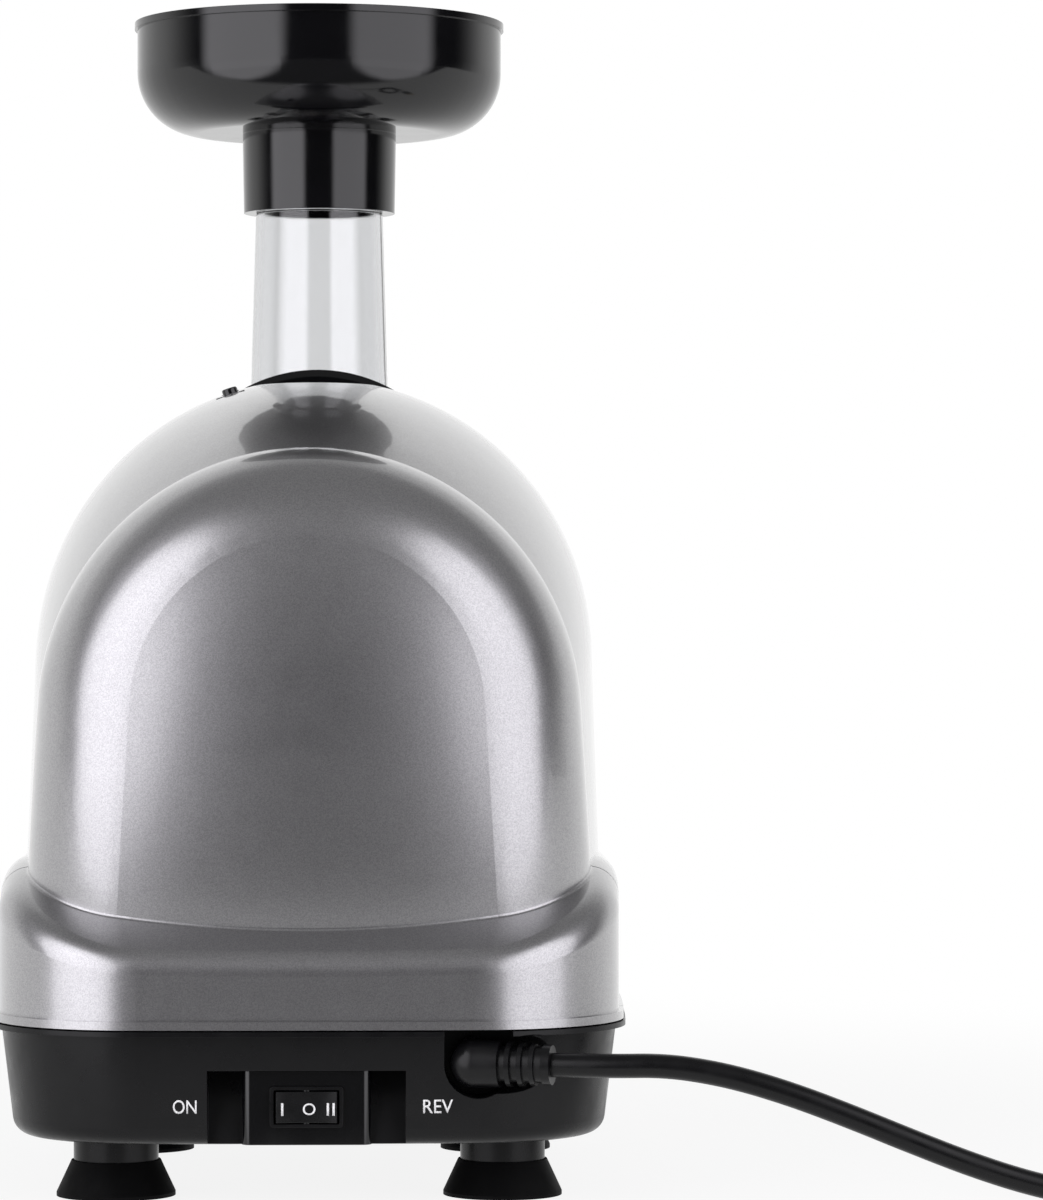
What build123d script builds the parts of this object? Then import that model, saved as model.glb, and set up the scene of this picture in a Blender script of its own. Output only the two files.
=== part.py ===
"""Horizontal slow juicer: silver motor housing on a black base, geared drive, clear drum and hopper.

Millimetres. +Z is up, the rear of the machine (switch and lead) faces -Y and the drum points to +Y.
The origin lies on the floor under the middle of the machine.
"""

import os
from math import acos, atan2, cos, degrees, exp, hypot, pi, radians, sin, sqrt, tan

from build123d import *

os.makedirs("parts", exist_ok=True)

# Overall places, measured forward from the rear face of the base
seam_depth = 52.0
front_depth = 162.0
socket_reach = 13.0
socket_depth = front_depth - socket_reach
base_apron = 22.0
base_length = front_depth + base_apron
chute_reach = 30.0
chute_depth = front_depth + chute_reach
drum_gap = 1.0
drum_rear_length = 50.0
drum_front_length = 75.0
drum_rear_depth = front_depth + drum_gap
drum_step_depth = drum_rear_depth + drum_rear_length
drum_front_depth = drum_step_depth + drum_front_length
cap_nose = 21.0
nozzle_length = 27.0
overall_length = drum_front_depth + cap_nose + nozzle_length
rear_y = -overall_length / 2
seam_y = rear_y + seam_depth
front_y = rear_y + front_depth
chute_y = rear_y + chute_depth

# Clearances
running_fit = 0.05
press_gap = 0.03
moving_gap = 0.4
seat_gap = 0.2
bite = 1.0

# Base and its outline seen from above
base_half_width = 86.0
base_widest_depth = 78.0
base_rear_taper = 3.0
base_front_taper = 2.0
base_rear_half = base_half_width - base_rear_taper
base_front_half = base_half_width - base_front_taper
base_rear_bow = 2.5
base_front_bow = 4.0
base_rear_corner = 42.0
base_front_corner = 22.0
base_bottom_z = 17.2
base_top_z = 47.4
base_wall = 2.5
base_floor = 3.0
base_draft = 3.6
base_edge_radius = 5.0
lip_overhang = 2.4
lip_height = 1.4
floor_z = base_bottom_z + base_floor

# Silver housing
shell_gap = 0.4
shell_foot_z = base_top_z + shell_gap
shell_wall = 2.4
front_wall = 4.0
seam_gap = 0.5
flange_inset = 0.5
flange_height = 2.2
skirt_inset = 1.7
skirt_rear_z = 64.5
skirt_top_z = 90.0
skirt_level_depth = 75.0
skirt_round = 8.0
dome_fillet = 0.8
seam_top_z = 201.5
seam_foot_inset = 7.5
seam_lean = 5.2
seam_foot_half = base_half_width - seam_foot_inset
seam_crown_radius = seam_foot_half - seam_lean
middle_setback = 58.0
middle_depth = front_depth - middle_setback
middle_top_z = 219.2
middle_foot_inset = 4.3
middle_lean = 3.6
middle_foot_half = base_half_width - middle_foot_inset
middle_crown_radius = middle_foot_half - middle_lean
hood_top_z = 223.6
front_foot_inset = 4.6
front_lean = 2.0
front_foot_half = base_half_width - front_foot_inset
front_crown_radius = front_foot_half - front_lean
front_crown_z = hood_top_z - front_crown_radius
front_edge_round = 3.0
landing_drop = 1.8
landing_z = hood_top_z - landing_drop
rear_pole_depth = 8.0
rear_pole_z = 118.0
rear_bulge_radius = 210.0
rear_edge_round = 34.0

# Screws that hold the shells on the base
post_inset = 13.0
post_x = base_half_width - post_inset
rear_post_setback = 6.0
rear_post_depth = seam_depth - rear_post_setback
front_post_setback = 22.0
front_post_depth = front_depth - front_post_setback
post_radius = 4.5
post_rib = 3.0
post_height = 14.0
post_roof = 1.0
rib_bite = 0.5
screw_radius = 1.9
screw_head_radius = 3.6
screw_head_height = 2.2
screw_skin = 1.0
head_sink = 1.0

# Suction feet
foot_inset = 34.0
foot_x = base_half_width - foot_inset
rear_foot_depth = 45.0
front_foot_setback = 24.0
front_foot_depth = base_length - front_foot_setback
foot_boss_radius = 11.4
foot_boss_z = 9.6
cup_radius = 16.0
cup_top_radius = 12.0
cup_hollow = 4.5
cup_rim = 2.0
foot_stem_radius = 5.0
foot_stem_top_z = 26.0
foot_barb = 1.2

# Switch recess, its panel and the rocker
recess_half = 26.0
recess_top_z = 37.0
recess_depth = 16.0
recess_low_depth = 8.5
recess_wall = 2.2
panel_half = 17.0
panel_depth = 6.0
panel_round = 2.5
switch_z = 27.4
bezel_width = 19.2
bezel_height = 10.8
bezel_proud = 1.2
window_width = 17.2
window_height = 8.9
switch_wall = 0.5
switch_box_length = 22.0
box_gap = 2.0
switch_back = 2.0
rocker_radius = 8.2
rocker_front = 2.2
rocker_back = 4.0
rocker_proud = 1.0
rocker_dish = 0.9
rocker_pin_radius = 1.0
rocker_pin_half = 4.6
rocker_socket_half = 4.9
terminal_width = 4.8
terminal_thickness = 0.8
terminal_length = 8.0
terminal_spacing = 5.0

# Mains lead: entry well, boot, free stretch, coil, tie and plug
cord_diameter = 6.4
boot_inset = 42.0
boot_x = base_half_width - boot_inset
boot_depth = 8.0
boot_z = 38.5
boot_angle = 15.0
boot_length = 21.0
boot_root_radius = 6.6
boot_tip_radius = 5.2
boot_ribs = 4
boot_groove = 1.3
boot_groove_width = 2.0
boot_neck_radius = 5.0
boot_flange_radius = 7.5
boot_flange = 2.0
well_near = 8.0
well_far = 10.0
well_left = boot_x - well_near
well_right = boot_x + well_far
well_depth = 16.0
well_gap = 1.2
well_wall = 3.0
well_block_right = 68.0
tail_length = 38.0
clamp_depth = 30.0
clamp_spacing = 9.5
clamp_length = 27.0
clamp_width = 8.0
clamp_bar = 3.0
clamp_pillar_radius = 3.6
clamp_screw_radius = 1.4
clamp_head_radius = 2.7
clamp_head_height = 1.8
cord_first_run = 15.0
cord_step = 16.0
cord_high_z = 39.2
cord_level_run = 44.0
cord_fall_run = 127.0
cord_fall_start = boot_x + cord_level_run
cord_fall_end = cord_fall_start + cord_fall_run
cord_far_depth = -10.0
cord_swing_length = 44.0
cord_landing = 23.0
coil_start_x = cord_fall_end + cord_landing
coil_lift = 1.3
coil_z = cord_diameter / 2 + coil_lift
coil_outer_radius = 43.5
coil_pitch = 7.0
coil_turns_in = 2.0
coil_turns = 4.25
coil_exit_run = 42.0
tie_thickness = 0.9
tie_width = 6.0
tie_gap = 0.3
plug_z = 8.0
plug_length = 34.0
plug_width = 24.0
plug_height = 15.0
plug_round = 5.0
pin_length = 17.0
pin_width = 6.3
pin_thickness = 1.5
pin_spacing = 12.7

# Circuit board beside the motor
board_x = 58.0
board_depth = 62.0
block_gap = 1.0
board_length = 56.0
board_bottom_z = 27.0
board_height = 44.0
board_thickness = 1.6
board_slot = 4.0
block_size = 12.0
capacitor_radius = 7.0
capacitor_length = 11.0
relay_length = 16.0
relay_height = 14.0
relay_thickness = 9.0

# Drive train: spur gears, each flank in straight facets
drive_axis_z = 182.5
pressure_angle = radians(20)
tooth_addendum = 0.8
tooth_dedendum = 1.2
tooth_backlash = 0.06
motor_module = 1.0
output_module = 1.2
pinion_teeth = 12
idler_teeth = 54
idler_pinion_teeth = 12
output_teeth = 46
idler_z = drive_axis_z - output_module * (idler_pinion_teeth + output_teeth) / 2
motor_z = idler_z - motor_module * (pinion_teeth + idler_teeth) / 2

# Gear case, as depths from the rear face of the base
case_setback = 62.0
case_depth = front_depth - case_setback
case_plate = 4.0
case_front_gap = 7.0
case_length = socket_depth - case_front_gap - case_depth
case_skin = 2.5
case_play = 1.2
case_nose_radius = 14.0
case_foot_half = 20.0
case_flange_half = 31.0
case_flange = 4.0
case_ear_radius = 5.0
case_ear_length = 14.0
case_ear_angle = 15.0
wheel_setback = 6.5
wheel_depth = case_depth + wheel_setback
wheel_width = 9.0
pinion_overhang = 1.0
wheel_web = 4.0
wheel_rim = 4.0
stage_setback = 19.0
stage_depth = case_depth + stage_setback
output_width = 14.0
output_web = 6.0
output_hub_radius = 13.0
output_collar = 1.5
idler_pin_radius = 4.0
idler_hub_radius = 5.6
idler_pinion_reach = 34.0
idler_pinion_end = case_depth + idler_pinion_reach
hub_play = 0.4
output_shaft_radius = 8.0
output_front_radius = 7.5
output_rear_radius = 6.0
bearing_ring = 5.0
bearing_boss = 3.0
bearing_lip = 2.0
rear_bearing_length = 6.0
front_bearing_length = 8.0
mount_screw_x = 25.5
mount_screw_head = 2.0

# Motor
motor_radius = 38.0
motor_wall = 2.0
motor_rear_depth = 34.0
motor_length = case_depth - motor_rear_depth
end_bell = 4.0
bell_vents = 8
bell_vent_radius = 3.5
bell_vent_circle = 28.0
motor_shaft_radius = 4.0
shaft_play = 2.0
shaft_tail = 17.0
shaft_rear_depth = motor_rear_depth - shaft_tail
magnet_thickness = 8.0
magnet_overhang = 2.0
magnet_arc = 130.0
rotor_radius = 24.5
rotor_setback = 16.0
rotor_front_gap = 12.0
rotor_depth = motor_rear_depth + rotor_setback
rotor_length = motor_length - rotor_setback - rotor_front_gap
magnet_length = rotor_length + 2 * magnet_overhang
rotor_slots = 12
rotor_slot = 3.0
winding_bulge = 4.0
commutator_radius = 11.0
commutator_setback = 2.5
commutator_depth = motor_rear_depth + commutator_setback
commutator_length = 9.0
commutator_slot = 0.8
brush_section = 6.0
brush_length = 10.0
holder_wall = 1.2
fan_radius = 30.0
fan_setback = 15.5
fan_depth = motor_rear_depth - fan_setback
fan_length = 7.0
fan_plate = 1.6
fan_hub_radius = 8.0
fan_blades = 9
fan_blade = 1.6
motor_bearing_radius = 9.5
motor_bearing_length = 6.0
motor_boss = 2.5
cradle_half = 30.0
cradle_setback = 8.0
cradle_front_gap = 6.0
cradle_depth = motor_rear_depth + cradle_setback
cradle_length = motor_length - cradle_setback - cradle_front_gap
cradle_plate = 5.0
cradle_height = 68.0
cradle_flange = 3.0
cradle_flange_half = 38.0
cradle_screw_x = 34.0

# Drum socket in the front wall, and the bayonet
socket_radius = 36.0
socket_back = 2.0
socket_rim = 3.8
socket_ear_radius = 42.0
socket_ear_round = 5.0
socket_ear = 3.0
socket_hub_bore = 16.0
lug_count = 3
lug_angle = 16.0
lug_length = 4.0
lug_reach = 2.6
lug_setback = 4.0
lug_depth = socket_depth + lug_setback
notch_play = 4.0
unlock_angle = 30.0
seal_width = 3.0
dog_radius = 12.0
dog_length = 12.0
dog_grip = 4.0
hex_across_flats = 11.0
hex_gap = 0.3

# Drum with its chute and spout
spigot_radius = 30.6
spigot_wall = 2.6
spigot_setback = 3.0
spigot_depth = socket_depth + spigot_setback
drum_back = 4.0
drum_rear_radius = 35.0
drum_rear_bore = 31.0
drum_step = 3.0
drum_front_radius = 41.0
drum_front_bore = 38.0
collar_radius = 45.0
collar_gap = 0.6
collar_depth = front_depth + collar_gap
collar_length = 7.0
collar_chamfer = 2.0
chute_root_radius = 20.4
chute_shoulder_radius = 18.9
chute_neck_radius = 18.4
chute_wall = 2.0
chute_root_z = 222.0
chute_shoulder_z = 275.0
chute_top_z = 298.0
spout_setback = 36.0
spout_depth = drum_front_depth - spout_setback
spout_radius = 11.0
spout_wall = 2.5
spout_z = 122.0

# Auger and strainer
journal_radius = 9.0
auger_disc_radius = 30.0
disc_gap = 0.6
auger_disc_depth = drum_rear_depth + drum_back + disc_gap
auger_disc = 3.4
auger_seal_inner = 12.0
auger_seal_outer = 16.0
auger_seal_depth = 1.5
auger_seal_proud = 0.25
flight_radius = 30.4
flight_core_rear = 15.0
flight_core_front = 11.0
flight_turns = 2.75
flight_root_angle = 66.0
flight_tip_angle = 34.0
auger_setback = 2.0
auger_end_depth = drum_front_depth - auger_setback
tip_radius = 5.0
tip_length = 13.0
screen_gap = 0.6
screen_thickness = 0.6
screen_slots = 36
screen_slot = 0.9
strainer_wall = 3.2
strainer_windows = 6
strainer_window_angle = 40.0
strainer_ring = 9.0
strainer_flange = 3.0

# End cap
cap_lug_radius = 43.0
cap_gap = 0.4
cap_wall = 3.0
cap_skirt_reach = 14.0
cap_skirt_depth = drum_front_depth - cap_skirt_reach
cap_shoulder = 6.0
cap_shoulder_depth = drum_front_depth + cap_shoulder
cap_front_depth = drum_front_depth + cap_nose
cap_nose_radius = 27.0
cap_lug_setback = 7.0
cap_lug_depth = drum_front_depth - cap_lug_setback
cap_lug_length = 3.0
cap_seal_length = 2.0
cap_ribs = 18
cap_rib_radius = 1.2
nozzle_drop = 19.5
nozzle_radius = 12.6
nozzle_wall = 2.4
bush_wall = 2.4
bush_boss = 1.7
bush_gap = 0.6
bush_start_depth = drum_front_depth + bush_gap

# Hopper
sleeve_radius = 22.5
sleeve_flare = 0.4
hopper_radius = 54.2
hopper_wall = 2.2
hopper_floor_z = 299.0
hopper_round = 18.0
hopper_top_z = 331.8
hopper_bead = 0.8
hopper_bead_height = 2.0

# Release button on the left shoulder of the hood
button_x = -24.5
button_setback = 29.0
button_depth = front_depth - button_setback
button_length = 11.0
button_width = 4.4
button_proud = 0.9
button_sag = 0.6
button_flange = 1.4
button_lip = 1.2
button_stem_radius = 1.8
button_stem_length = 5.4
bracket_depth = 10.8
bracket_plate = 2.0
bracket_length = 22.0
bracket_width = 8.4
spring_wire = 0.7
spring_radius = 2.9
spring_turns = 2.0
spring_seat = 0.3


def across(y, x=0.0, z=0.0):
    """Plane square to Y, looking along +Y: extrudes to the front, local x to the left, local y up."""
    return Plane(origin=(x, y, z), x_dir=(-1, 0, 0), z_dir=(0, 1, 0))


def axis_at(z):
    """Line along +Y at the height z, in the middle of the machine."""
    return Axis((0, 0, z), (0, 1, 0))


def save(piece, name):
    """Label a finished piece and write it as the node of that name."""
    piece.label = name
    export_step(piece, f"parts/{name}.step")


def turned(points, axis):
    """Solid turned about a line along Y, from outline points given as depth and height above it."""
    with BuildPart() as solid:
        with BuildSketch(Plane.YZ):
            with BuildLine():
                outline = [(rear_y + depth, axis.position.Z + radius) for depth, radius in points]
                Polyline(*outline, close=True)
            make_face()
        revolve(axis=axis)
    return solid.part


def ring(depth, length, outer, inner, z):
    """Plain ring about a line along Y at the height z."""
    end = depth + length
    return turned([(depth, inner), (depth, outer), (end, outer), (end, inner)], axis_at(z))


def base_outline(inset):
    """Outline of the base seen from above, drawn in by inset, as a sketch on the floor plane."""
    rear_corner_y = rear_y + base_rear_bow + inset
    front_corner_y = rear_y + base_length - base_front_bow - inset
    widest = (base_half_width - inset, rear_y + base_widest_depth)
    rear_right = (base_rear_half - inset, rear_corner_y)
    front_right = (base_front_half - inset, front_corner_y)
    with BuildSketch() as outline:
        with BuildLine():
            ThreePointArc((-rear_right[0], rear_corner_y), (0, rear_y + inset), rear_right)
            ThreePointArc(rear_right, widest, front_right)
            front_middle = (0, rear_y + base_length - inset)
            ThreePointArc(front_right, front_middle, (-front_right[0], front_corner_y))
            far_side = (-widest[0], widest[1])
            ThreePointArc((-front_right[0], front_corner_y), far_side, (-rear_right[0], rear_corner_y))
        make_face()
        fillet(outline.vertices().group_by(Axis.Y)[0], base_rear_corner - inset)
        fillet(outline.vertices().group_by(Axis.Y)[-1], base_front_corner - inset)
    return outline.sketch


def arch(y, crown_radius, top_z, foot_half, inset):
    """Cross-section of the housing at y: a round crown on two sides that lean out to the foot."""
    radius = crown_radius - inset
    foot = foot_half - inset
    foot_z = shell_foot_z
    crown_z = top_z - crown_radius
    drop = crown_z - foot_z
    touch = atan2(-drop, foot) + acos(radius / hypot(foot, drop))
    side_x = radius * cos(touch)
    side_z = crown_z + radius * sin(touch)
    with BuildSketch(across(y)) as section:
        with BuildLine():
            Line((-foot, foot_z), (-side_x, side_z))
            ThreePointArc((-side_x, side_z), (0, crown_z + radius), (side_x, side_z))
            Line((side_x, side_z), (foot, foot_z))
            Line((foot, foot_z), (-foot, foot_z))
        make_face()
    return section.sketch


def foot_flange():
    """The thin light lip at the foot of the skirt."""
    with BuildPart() as flange:
        with BuildSketch(Plane.XY.offset(shell_foot_z)):
            add(base_outline(flange_inset))
        extrude(amount=flange_height)
    return flange.part


def skirt_form(inset):
    """The flared skirt round the foot of the housing, low at the rear and level further forward."""
    top_z = skirt_top_z - inset
    level = (rear_y + skirt_level_depth, top_z)
    low = (rear_y, skirt_rear_z - inset)
    far_y = rear_y + base_length
    with BuildPart() as skirt:
        with BuildSketch(Plane.XY.offset(shell_foot_z)):
            add(base_outline(skirt_inset + inset))
        extrude(amount=skirt_top_z - shell_foot_z)
        with BuildSketch(Plane.YZ):
            with BuildLine():
                TangentArc(level, low, tangent=(-1, 0))
                Polyline(low, (rear_y, shell_foot_z), (far_y, shell_foot_z), (far_y, top_z), level)
            make_face()
        extrude(amount=2 * base_half_width, both=True, mode=Mode.INTERSECT)
        roof = skirt.faces().filter_by(lambda face: face.normal_at().Z > 0.5)
        rim = [edge for edge in roof.edges() if len([f for f in roof if edge in f.edges()]) == 1]
        fillet(rim, skirt_round - inset)
    return skirt.part


def rear_form(inset):
    """The domed rear of the housing, from its rounded back to the seam."""
    with BuildPart() as dome:
        extrude(arch(seam_y, seam_crown_radius, seam_top_z, seam_foot_half, inset), amount=-seam_depth)
        with Locations((0, rear_y + rear_pole_depth + rear_bulge_radius, rear_pole_z)):
            Sphere(rear_bulge_radius - inset, mode=Mode.INTERSECT)
        back = dome.faces().filter_by(GeomType.SPHERE)[0]
        fillet(back.edges().sort_by(Axis.Z)[1:], rear_edge_round - inset)
    return dome.part


def hood_form(inset, front_inset):
    """The front part of the housing: it grows from the seam to the hood."""
    seam = arch(seam_y, seam_crown_radius, seam_top_z, seam_foot_half, inset)
    middle = arch(rear_y + middle_depth, middle_crown_radius, middle_top_z, middle_foot_half, inset)
    front = arch(front_y - front_inset, front_crown_radius, hood_top_z, front_foot_half, inset)
    with BuildPart() as hood:
        loft(sections=[seam, middle, front])
    return hood.part


def skirt_share(inset, keep):
    """The part of the skirt in front of the seam, or behind it."""
    with BuildPart() as share:
        add(skirt_form(inset))
        split(bisect_by=Plane.XZ.offset(-seam_y), keep=keep)
    return share.part


def joined_half(dome, skirt):
    """A dome on its share of the skirt, with a rounded crease where their sides meet."""
    with BuildPart() as half:
        add(dome)
        add(skirt)
        fresh = new_edges(dome, skirt, combined=half.part)
        raised = [edge for edge in fresh if edge.center().Z > shell_foot_z + flange_height]
        crease = [edge for edge in raised if abs(edge.center().Y - seam_y) > seam_gap]
        fillet([edge for edge in crease if edge.center().Y < front_y - front_edge_round], dome_fillet)
    return half.part


def shell_bosses(depth):
    """Two screw bosses inside a shell, each tied to the skirt's wall by a rib."""
    rib_end = base_half_width - skirt_inset - shell_wall + rib_bite
    with BuildPart() as bosses:
        with BuildSketch(Plane.XY.offset(shell_foot_z)):
            with Locations((-post_x, rear_y + depth), (post_x, rear_y + depth)):
                Circle(post_radius)
            for side in (-1, 1):
                with Locations((side * (post_x + rib_end) / 2, rear_y + depth)):
                    Rectangle(rib_end - post_x, post_rib)
        extrude(amount=post_height)
        with BuildSketch(Plane.XY.offset(shell_foot_z)):
            with Locations((-post_x, rear_y + depth), (post_x, rear_y + depth)):
                Circle(screw_radius + press_gap)
        extrude(amount=post_height - post_roof, mode=Mode.SUBTRACT)
    return bosses.part


# Release button: its place on the hood and the line along which it is pressed
button_lean = degrees(atan2(button_x, sqrt(front_crown_radius**2 - button_x**2)))
button_out = Vector(sin(radians(button_lean)), 0, cos(radians(button_lean)))
button_seat = Vector(0, rear_y + button_depth, front_crown_z) + button_out * front_crown_radius
button_plane = Plane(origin=button_seat, x_dir=(0, 1, 0), z_dir=button_out)

socket_ear_angles = (0, 180, 270)


def ear_points(radius):
    """Places of the socket ring's screw ears, on planes square to the drive axis."""
    return [(radius * cos(radians(a)), radius * sin(radians(a))) for a in socket_ear_angles]


# Main shell: hood, skirt and front wall in one moulding
with BuildPart() as hood_cavity:
    add(hood_form(shell_wall, front_wall))
    split(bisect_by=Plane.XY.offset(landing_z - shell_wall), keep=Keep.BOTTOM)

with BuildPart() as main_shell:
    add(joined_half(hood_form(0, 0), skirt_share(0, Keep.BOTTOM)))
    add(foot_flange())
    split(bisect_by=Plane.XZ.offset(-(seam_y + seam_gap / 2)), keep=Keep.BOTTOM)
    split(bisect_by=Plane.XY.offset(landing_z), keep=Keep.BOTTOM)
    add(hood_cavity.part, mode=Mode.SUBTRACT)
    add(skirt_share(shell_wall, Keep.BOTTOM), mode=Mode.SUBTRACT)
    add(shell_bosses(front_post_depth))
    with BuildSketch(across(front_y, 0, drive_axis_z)):
        Circle(socket_radius + seat_gap)
    extrude(amount=-2 * front_wall, mode=Mode.SUBTRACT)
    with BuildSketch(across(front_y - front_wall, 0, drive_axis_z)):
        with Locations(*ear_points(socket_ear_radius)):
            Circle(screw_radius + press_gap)
    extrude(amount=front_wall - screw_skin, mode=Mode.SUBTRACT)
    with BuildSketch(button_plane.offset(-bracket_depth)):
        Rectangle(bracket_length, bracket_width)
    extrude(amount=bracket_depth - shell_wall / 2)
    with BuildSketch(button_plane.offset(-bracket_depth + bracket_plate)):
        Rectangle(bracket_length - 2 * bracket_plate, bracket_width)
    extrude(amount=bracket_depth - bracket_plate - shell_wall - button_sag, mode=Mode.SUBTRACT)
    with BuildSketch(button_plane.offset(-bracket_depth)):
        Circle(button_stem_radius + moving_gap)
    extrude(amount=bracket_plate, mode=Mode.SUBTRACT)
    with BuildSketch(button_plane):
        SlotOverall(button_length + 2 * moving_gap, button_width + 2 * moving_gap)
    extrude(amount=2 * shell_wall, both=True, mode=Mode.SUBTRACT)
save(main_shell.part, "main_shell")

# Rear cover: the dome behind the seam
with BuildPart() as rear_cover:
    add(joined_half(rear_form(0), skirt_share(0, Keep.TOP)))
    add(foot_flange())
    split(bisect_by=Plane.XZ.offset(-(seam_y - seam_gap / 2)), keep=Keep.TOP)
    add(rear_form(shell_wall), mode=Mode.SUBTRACT)
    add(skirt_share(shell_wall, Keep.TOP), mode=Mode.SUBTRACT)
    add(shell_bosses(rear_post_depth))
save(rear_cover.part, "rear_cover")

# Base tray: walls, lip, switch recess, cord well, screw posts and foot bosses
boot_out = Vector(cos(radians(boot_angle)), -sin(radians(boot_angle)), 0)
boot_start = Vector(boot_x, rear_y + boot_depth, boot_z)
boot_end = boot_start + boot_out * boot_length
post_points = [(x, rear_y + d) for x in (-post_x, post_x) for d in (rear_post_depth, front_post_depth)]
foot_points = [(x, rear_y + d) for x in (-foot_x, foot_x) for d in (rear_foot_depth, front_foot_depth)]
clamp_points = [(boot_x + side * clamp_spacing, rear_y + clamp_depth) for side in (-1, 1)]
clamp_z = boot_z
pedestal_z = floor_z + press_gap
case_mounts = [(x, rear_y + case_depth + case_length / 2) for x in (-mount_screw_x, mount_screw_x)]
cradle_mounts = [(x, rear_y + cradle_depth + cradle_length / 2) for x in (-cradle_screw_x, cradle_screw_x)]


def recess_profile(half, setback, gap):
    """The switch recess seen from the side, as a bar half wide each way, with a sloping back."""
    with BuildPart() as bar:
        with BuildSketch(Plane.YZ):
            with BuildLine():
                Polyline(
                    (rear_y + setback, base_bottom_z - bite + gap),
                    (rear_y + recess_low_depth - gap, base_bottom_z - bite + gap),
                    (rear_y + recess_depth - gap, recess_top_z - gap),
                    (rear_y + setback, recess_top_z - gap),
                    close=True,
                )
            make_face()
        extrude(amount=half, both=True)
    return bar.part


with BuildPart() as tray_cavity:
    with BuildSketch(Plane.XY.offset(floor_z)):
        add(base_outline(lip_overhang + base_draft + 2 * base_wall))
    with BuildSketch(Plane.XY.offset(base_top_z)):
        add(base_outline(lip_overhang + base_wall))
    loft()
    add(recess_profile(recess_half + recess_wall, 0, -recess_wall), mode=Mode.SUBTRACT)
    with BuildSketch(Plane.XY.offset(floor_z)):
        with BuildLine():
            Polyline(
                (well_left - well_wall, rear_y),
                (well_block_right, rear_y),
                (well_block_right, rear_y + well_depth + well_wall),
                (well_left - well_wall, rear_y + well_depth + well_wall),
                close=True,
            )
        make_face()
    extrude(amount=base_top_z - floor_z, mode=Mode.SUBTRACT)

with BuildPart() as base_tray:
    with BuildSketch(Plane.XY.offset(base_bottom_z)):
        add(base_outline(lip_overhang + base_draft))
    with BuildSketch(Plane.XY.offset(base_top_z)):
        add(base_outline(lip_overhang))
    loft()
    fillet(base_tray.edges().group_by(Axis.Z)[0], base_edge_radius)
    with BuildSketch(Plane.XY.offset(base_top_z - lip_height)):
        add(base_outline(0))
    extrude(amount=lip_height)
    add(tray_cavity.part, mode=Mode.SUBTRACT)
    with BuildSketch(Plane.XY.offset(base_bottom_z + bite)):
        with Locations(*post_points):
            Circle(post_radius)
    extrude(amount=base_top_z - base_bottom_z - bite)
    with BuildSketch(Plane.XY.offset(foot_boss_z)):
        with Locations(*foot_points):
            Circle(foot_boss_radius)
    extrude(amount=base_bottom_z - foot_boss_z + bite)
    with BuildSketch(Plane.XY.offset(foot_boss_z)):
        with Locations(*foot_points):
            Circle(foot_stem_radius + press_gap)
    extrude(amount=floor_z - foot_boss_z, mode=Mode.SUBTRACT)
    with BuildSketch(Plane.XY):
        with Locations(*post_points):
            Circle(screw_radius + seat_gap)
    extrude(amount=base_top_z, mode=Mode.SUBTRACT)
    with BuildSketch(Plane.XY):
        with Locations(*post_points):
            Circle(screw_head_radius + seat_gap)
    extrude(amount=floor_z + head_sink, mode=Mode.SUBTRACT)
    add(recess_profile(recess_half, -bite, 0), mode=Mode.SUBTRACT)
    with BuildSketch(across(rear_y + panel_depth, 0, switch_z)):
        Rectangle(bezel_width - switch_wall, bezel_height - switch_wall)
    extrude(amount=switch_box_length + box_gap, mode=Mode.SUBTRACT)
    with BuildSketch(Plane.XZ.offset(-(rear_y + well_depth))):
        with BuildLine():
            Polyline((well_left, base_top_z + bite), (well_left, boot_z), (well_right, boot_z))
            Polyline((well_right, boot_z), (well_right, base_top_z + bite), (well_left, base_top_z + bite))
        make_face()
        with Locations(((well_left + well_right) / 2, boot_z)):
            Circle((well_right - well_left) / 2)
    extrude(amount=2 * well_depth, mode=Mode.SUBTRACT)
    with BuildSketch(Plane(origin=boot_start, z_dir=boot_out)):
        Circle(boot_root_radius + well_gap)
    extrude(amount=2 * boot_length, mode=Mode.SUBTRACT)
    with BuildSketch(across(rear_y + well_depth, boot_x, boot_z)):
        Circle(boot_neck_radius + press_gap)
    extrude(amount=well_wall, mode=Mode.SUBTRACT)
    with BuildSketch(Plane.XY.offset(floor_z - bite)):
        with Locations(*clamp_points):
            Circle(clamp_pillar_radius)
        with Locations((boot_x, rear_y + clamp_depth)):
            Rectangle(2 * clamp_spacing, base_wall)
    extrude(amount=clamp_z - floor_z + bite)
    with BuildSketch(Plane.XY.offset(clamp_z)):
        with Locations(*clamp_points):
            Circle(clamp_screw_radius + press_gap)
    extrude(amount=-clamp_width, mode=Mode.SUBTRACT)
    with BuildSketch(across(rear_y + clamp_depth - clamp_width, boot_x, boot_z)):
        Circle(cord_diameter / 2 + press_gap)
    extrude(amount=2 * clamp_width, mode=Mode.SUBTRACT)
    with BuildSketch(Plane.XY.offset(floor_z)):
        with Locations(*case_mounts, *cradle_mounts):
            Circle(screw_radius + press_gap)
    extrude(amount=-base_floor, mode=Mode.SUBTRACT)
    with BuildSketch(Plane.XY.offset(floor_z - bite)):
        for end_depth in (board_depth + board_slot, board_depth + board_length - board_slot):
            with Locations((board_x, rear_y + end_depth)):
                Rectangle(board_thickness + 2 * base_wall, base_wall)
    extrude(amount=board_bottom_z + board_slot - floor_z + bite)
    with BuildSketch(Plane.XY.offset(board_bottom_z - press_gap)):
        with Locations((board_x, rear_y + board_depth + board_length / 2)):
            Rectangle(board_thickness + 2 * press_gap, board_length + board_slot)
    extrude(amount=2 * board_slot, mode=Mode.SUBTRACT)
save(base_tray.part, "base_tray")

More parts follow.
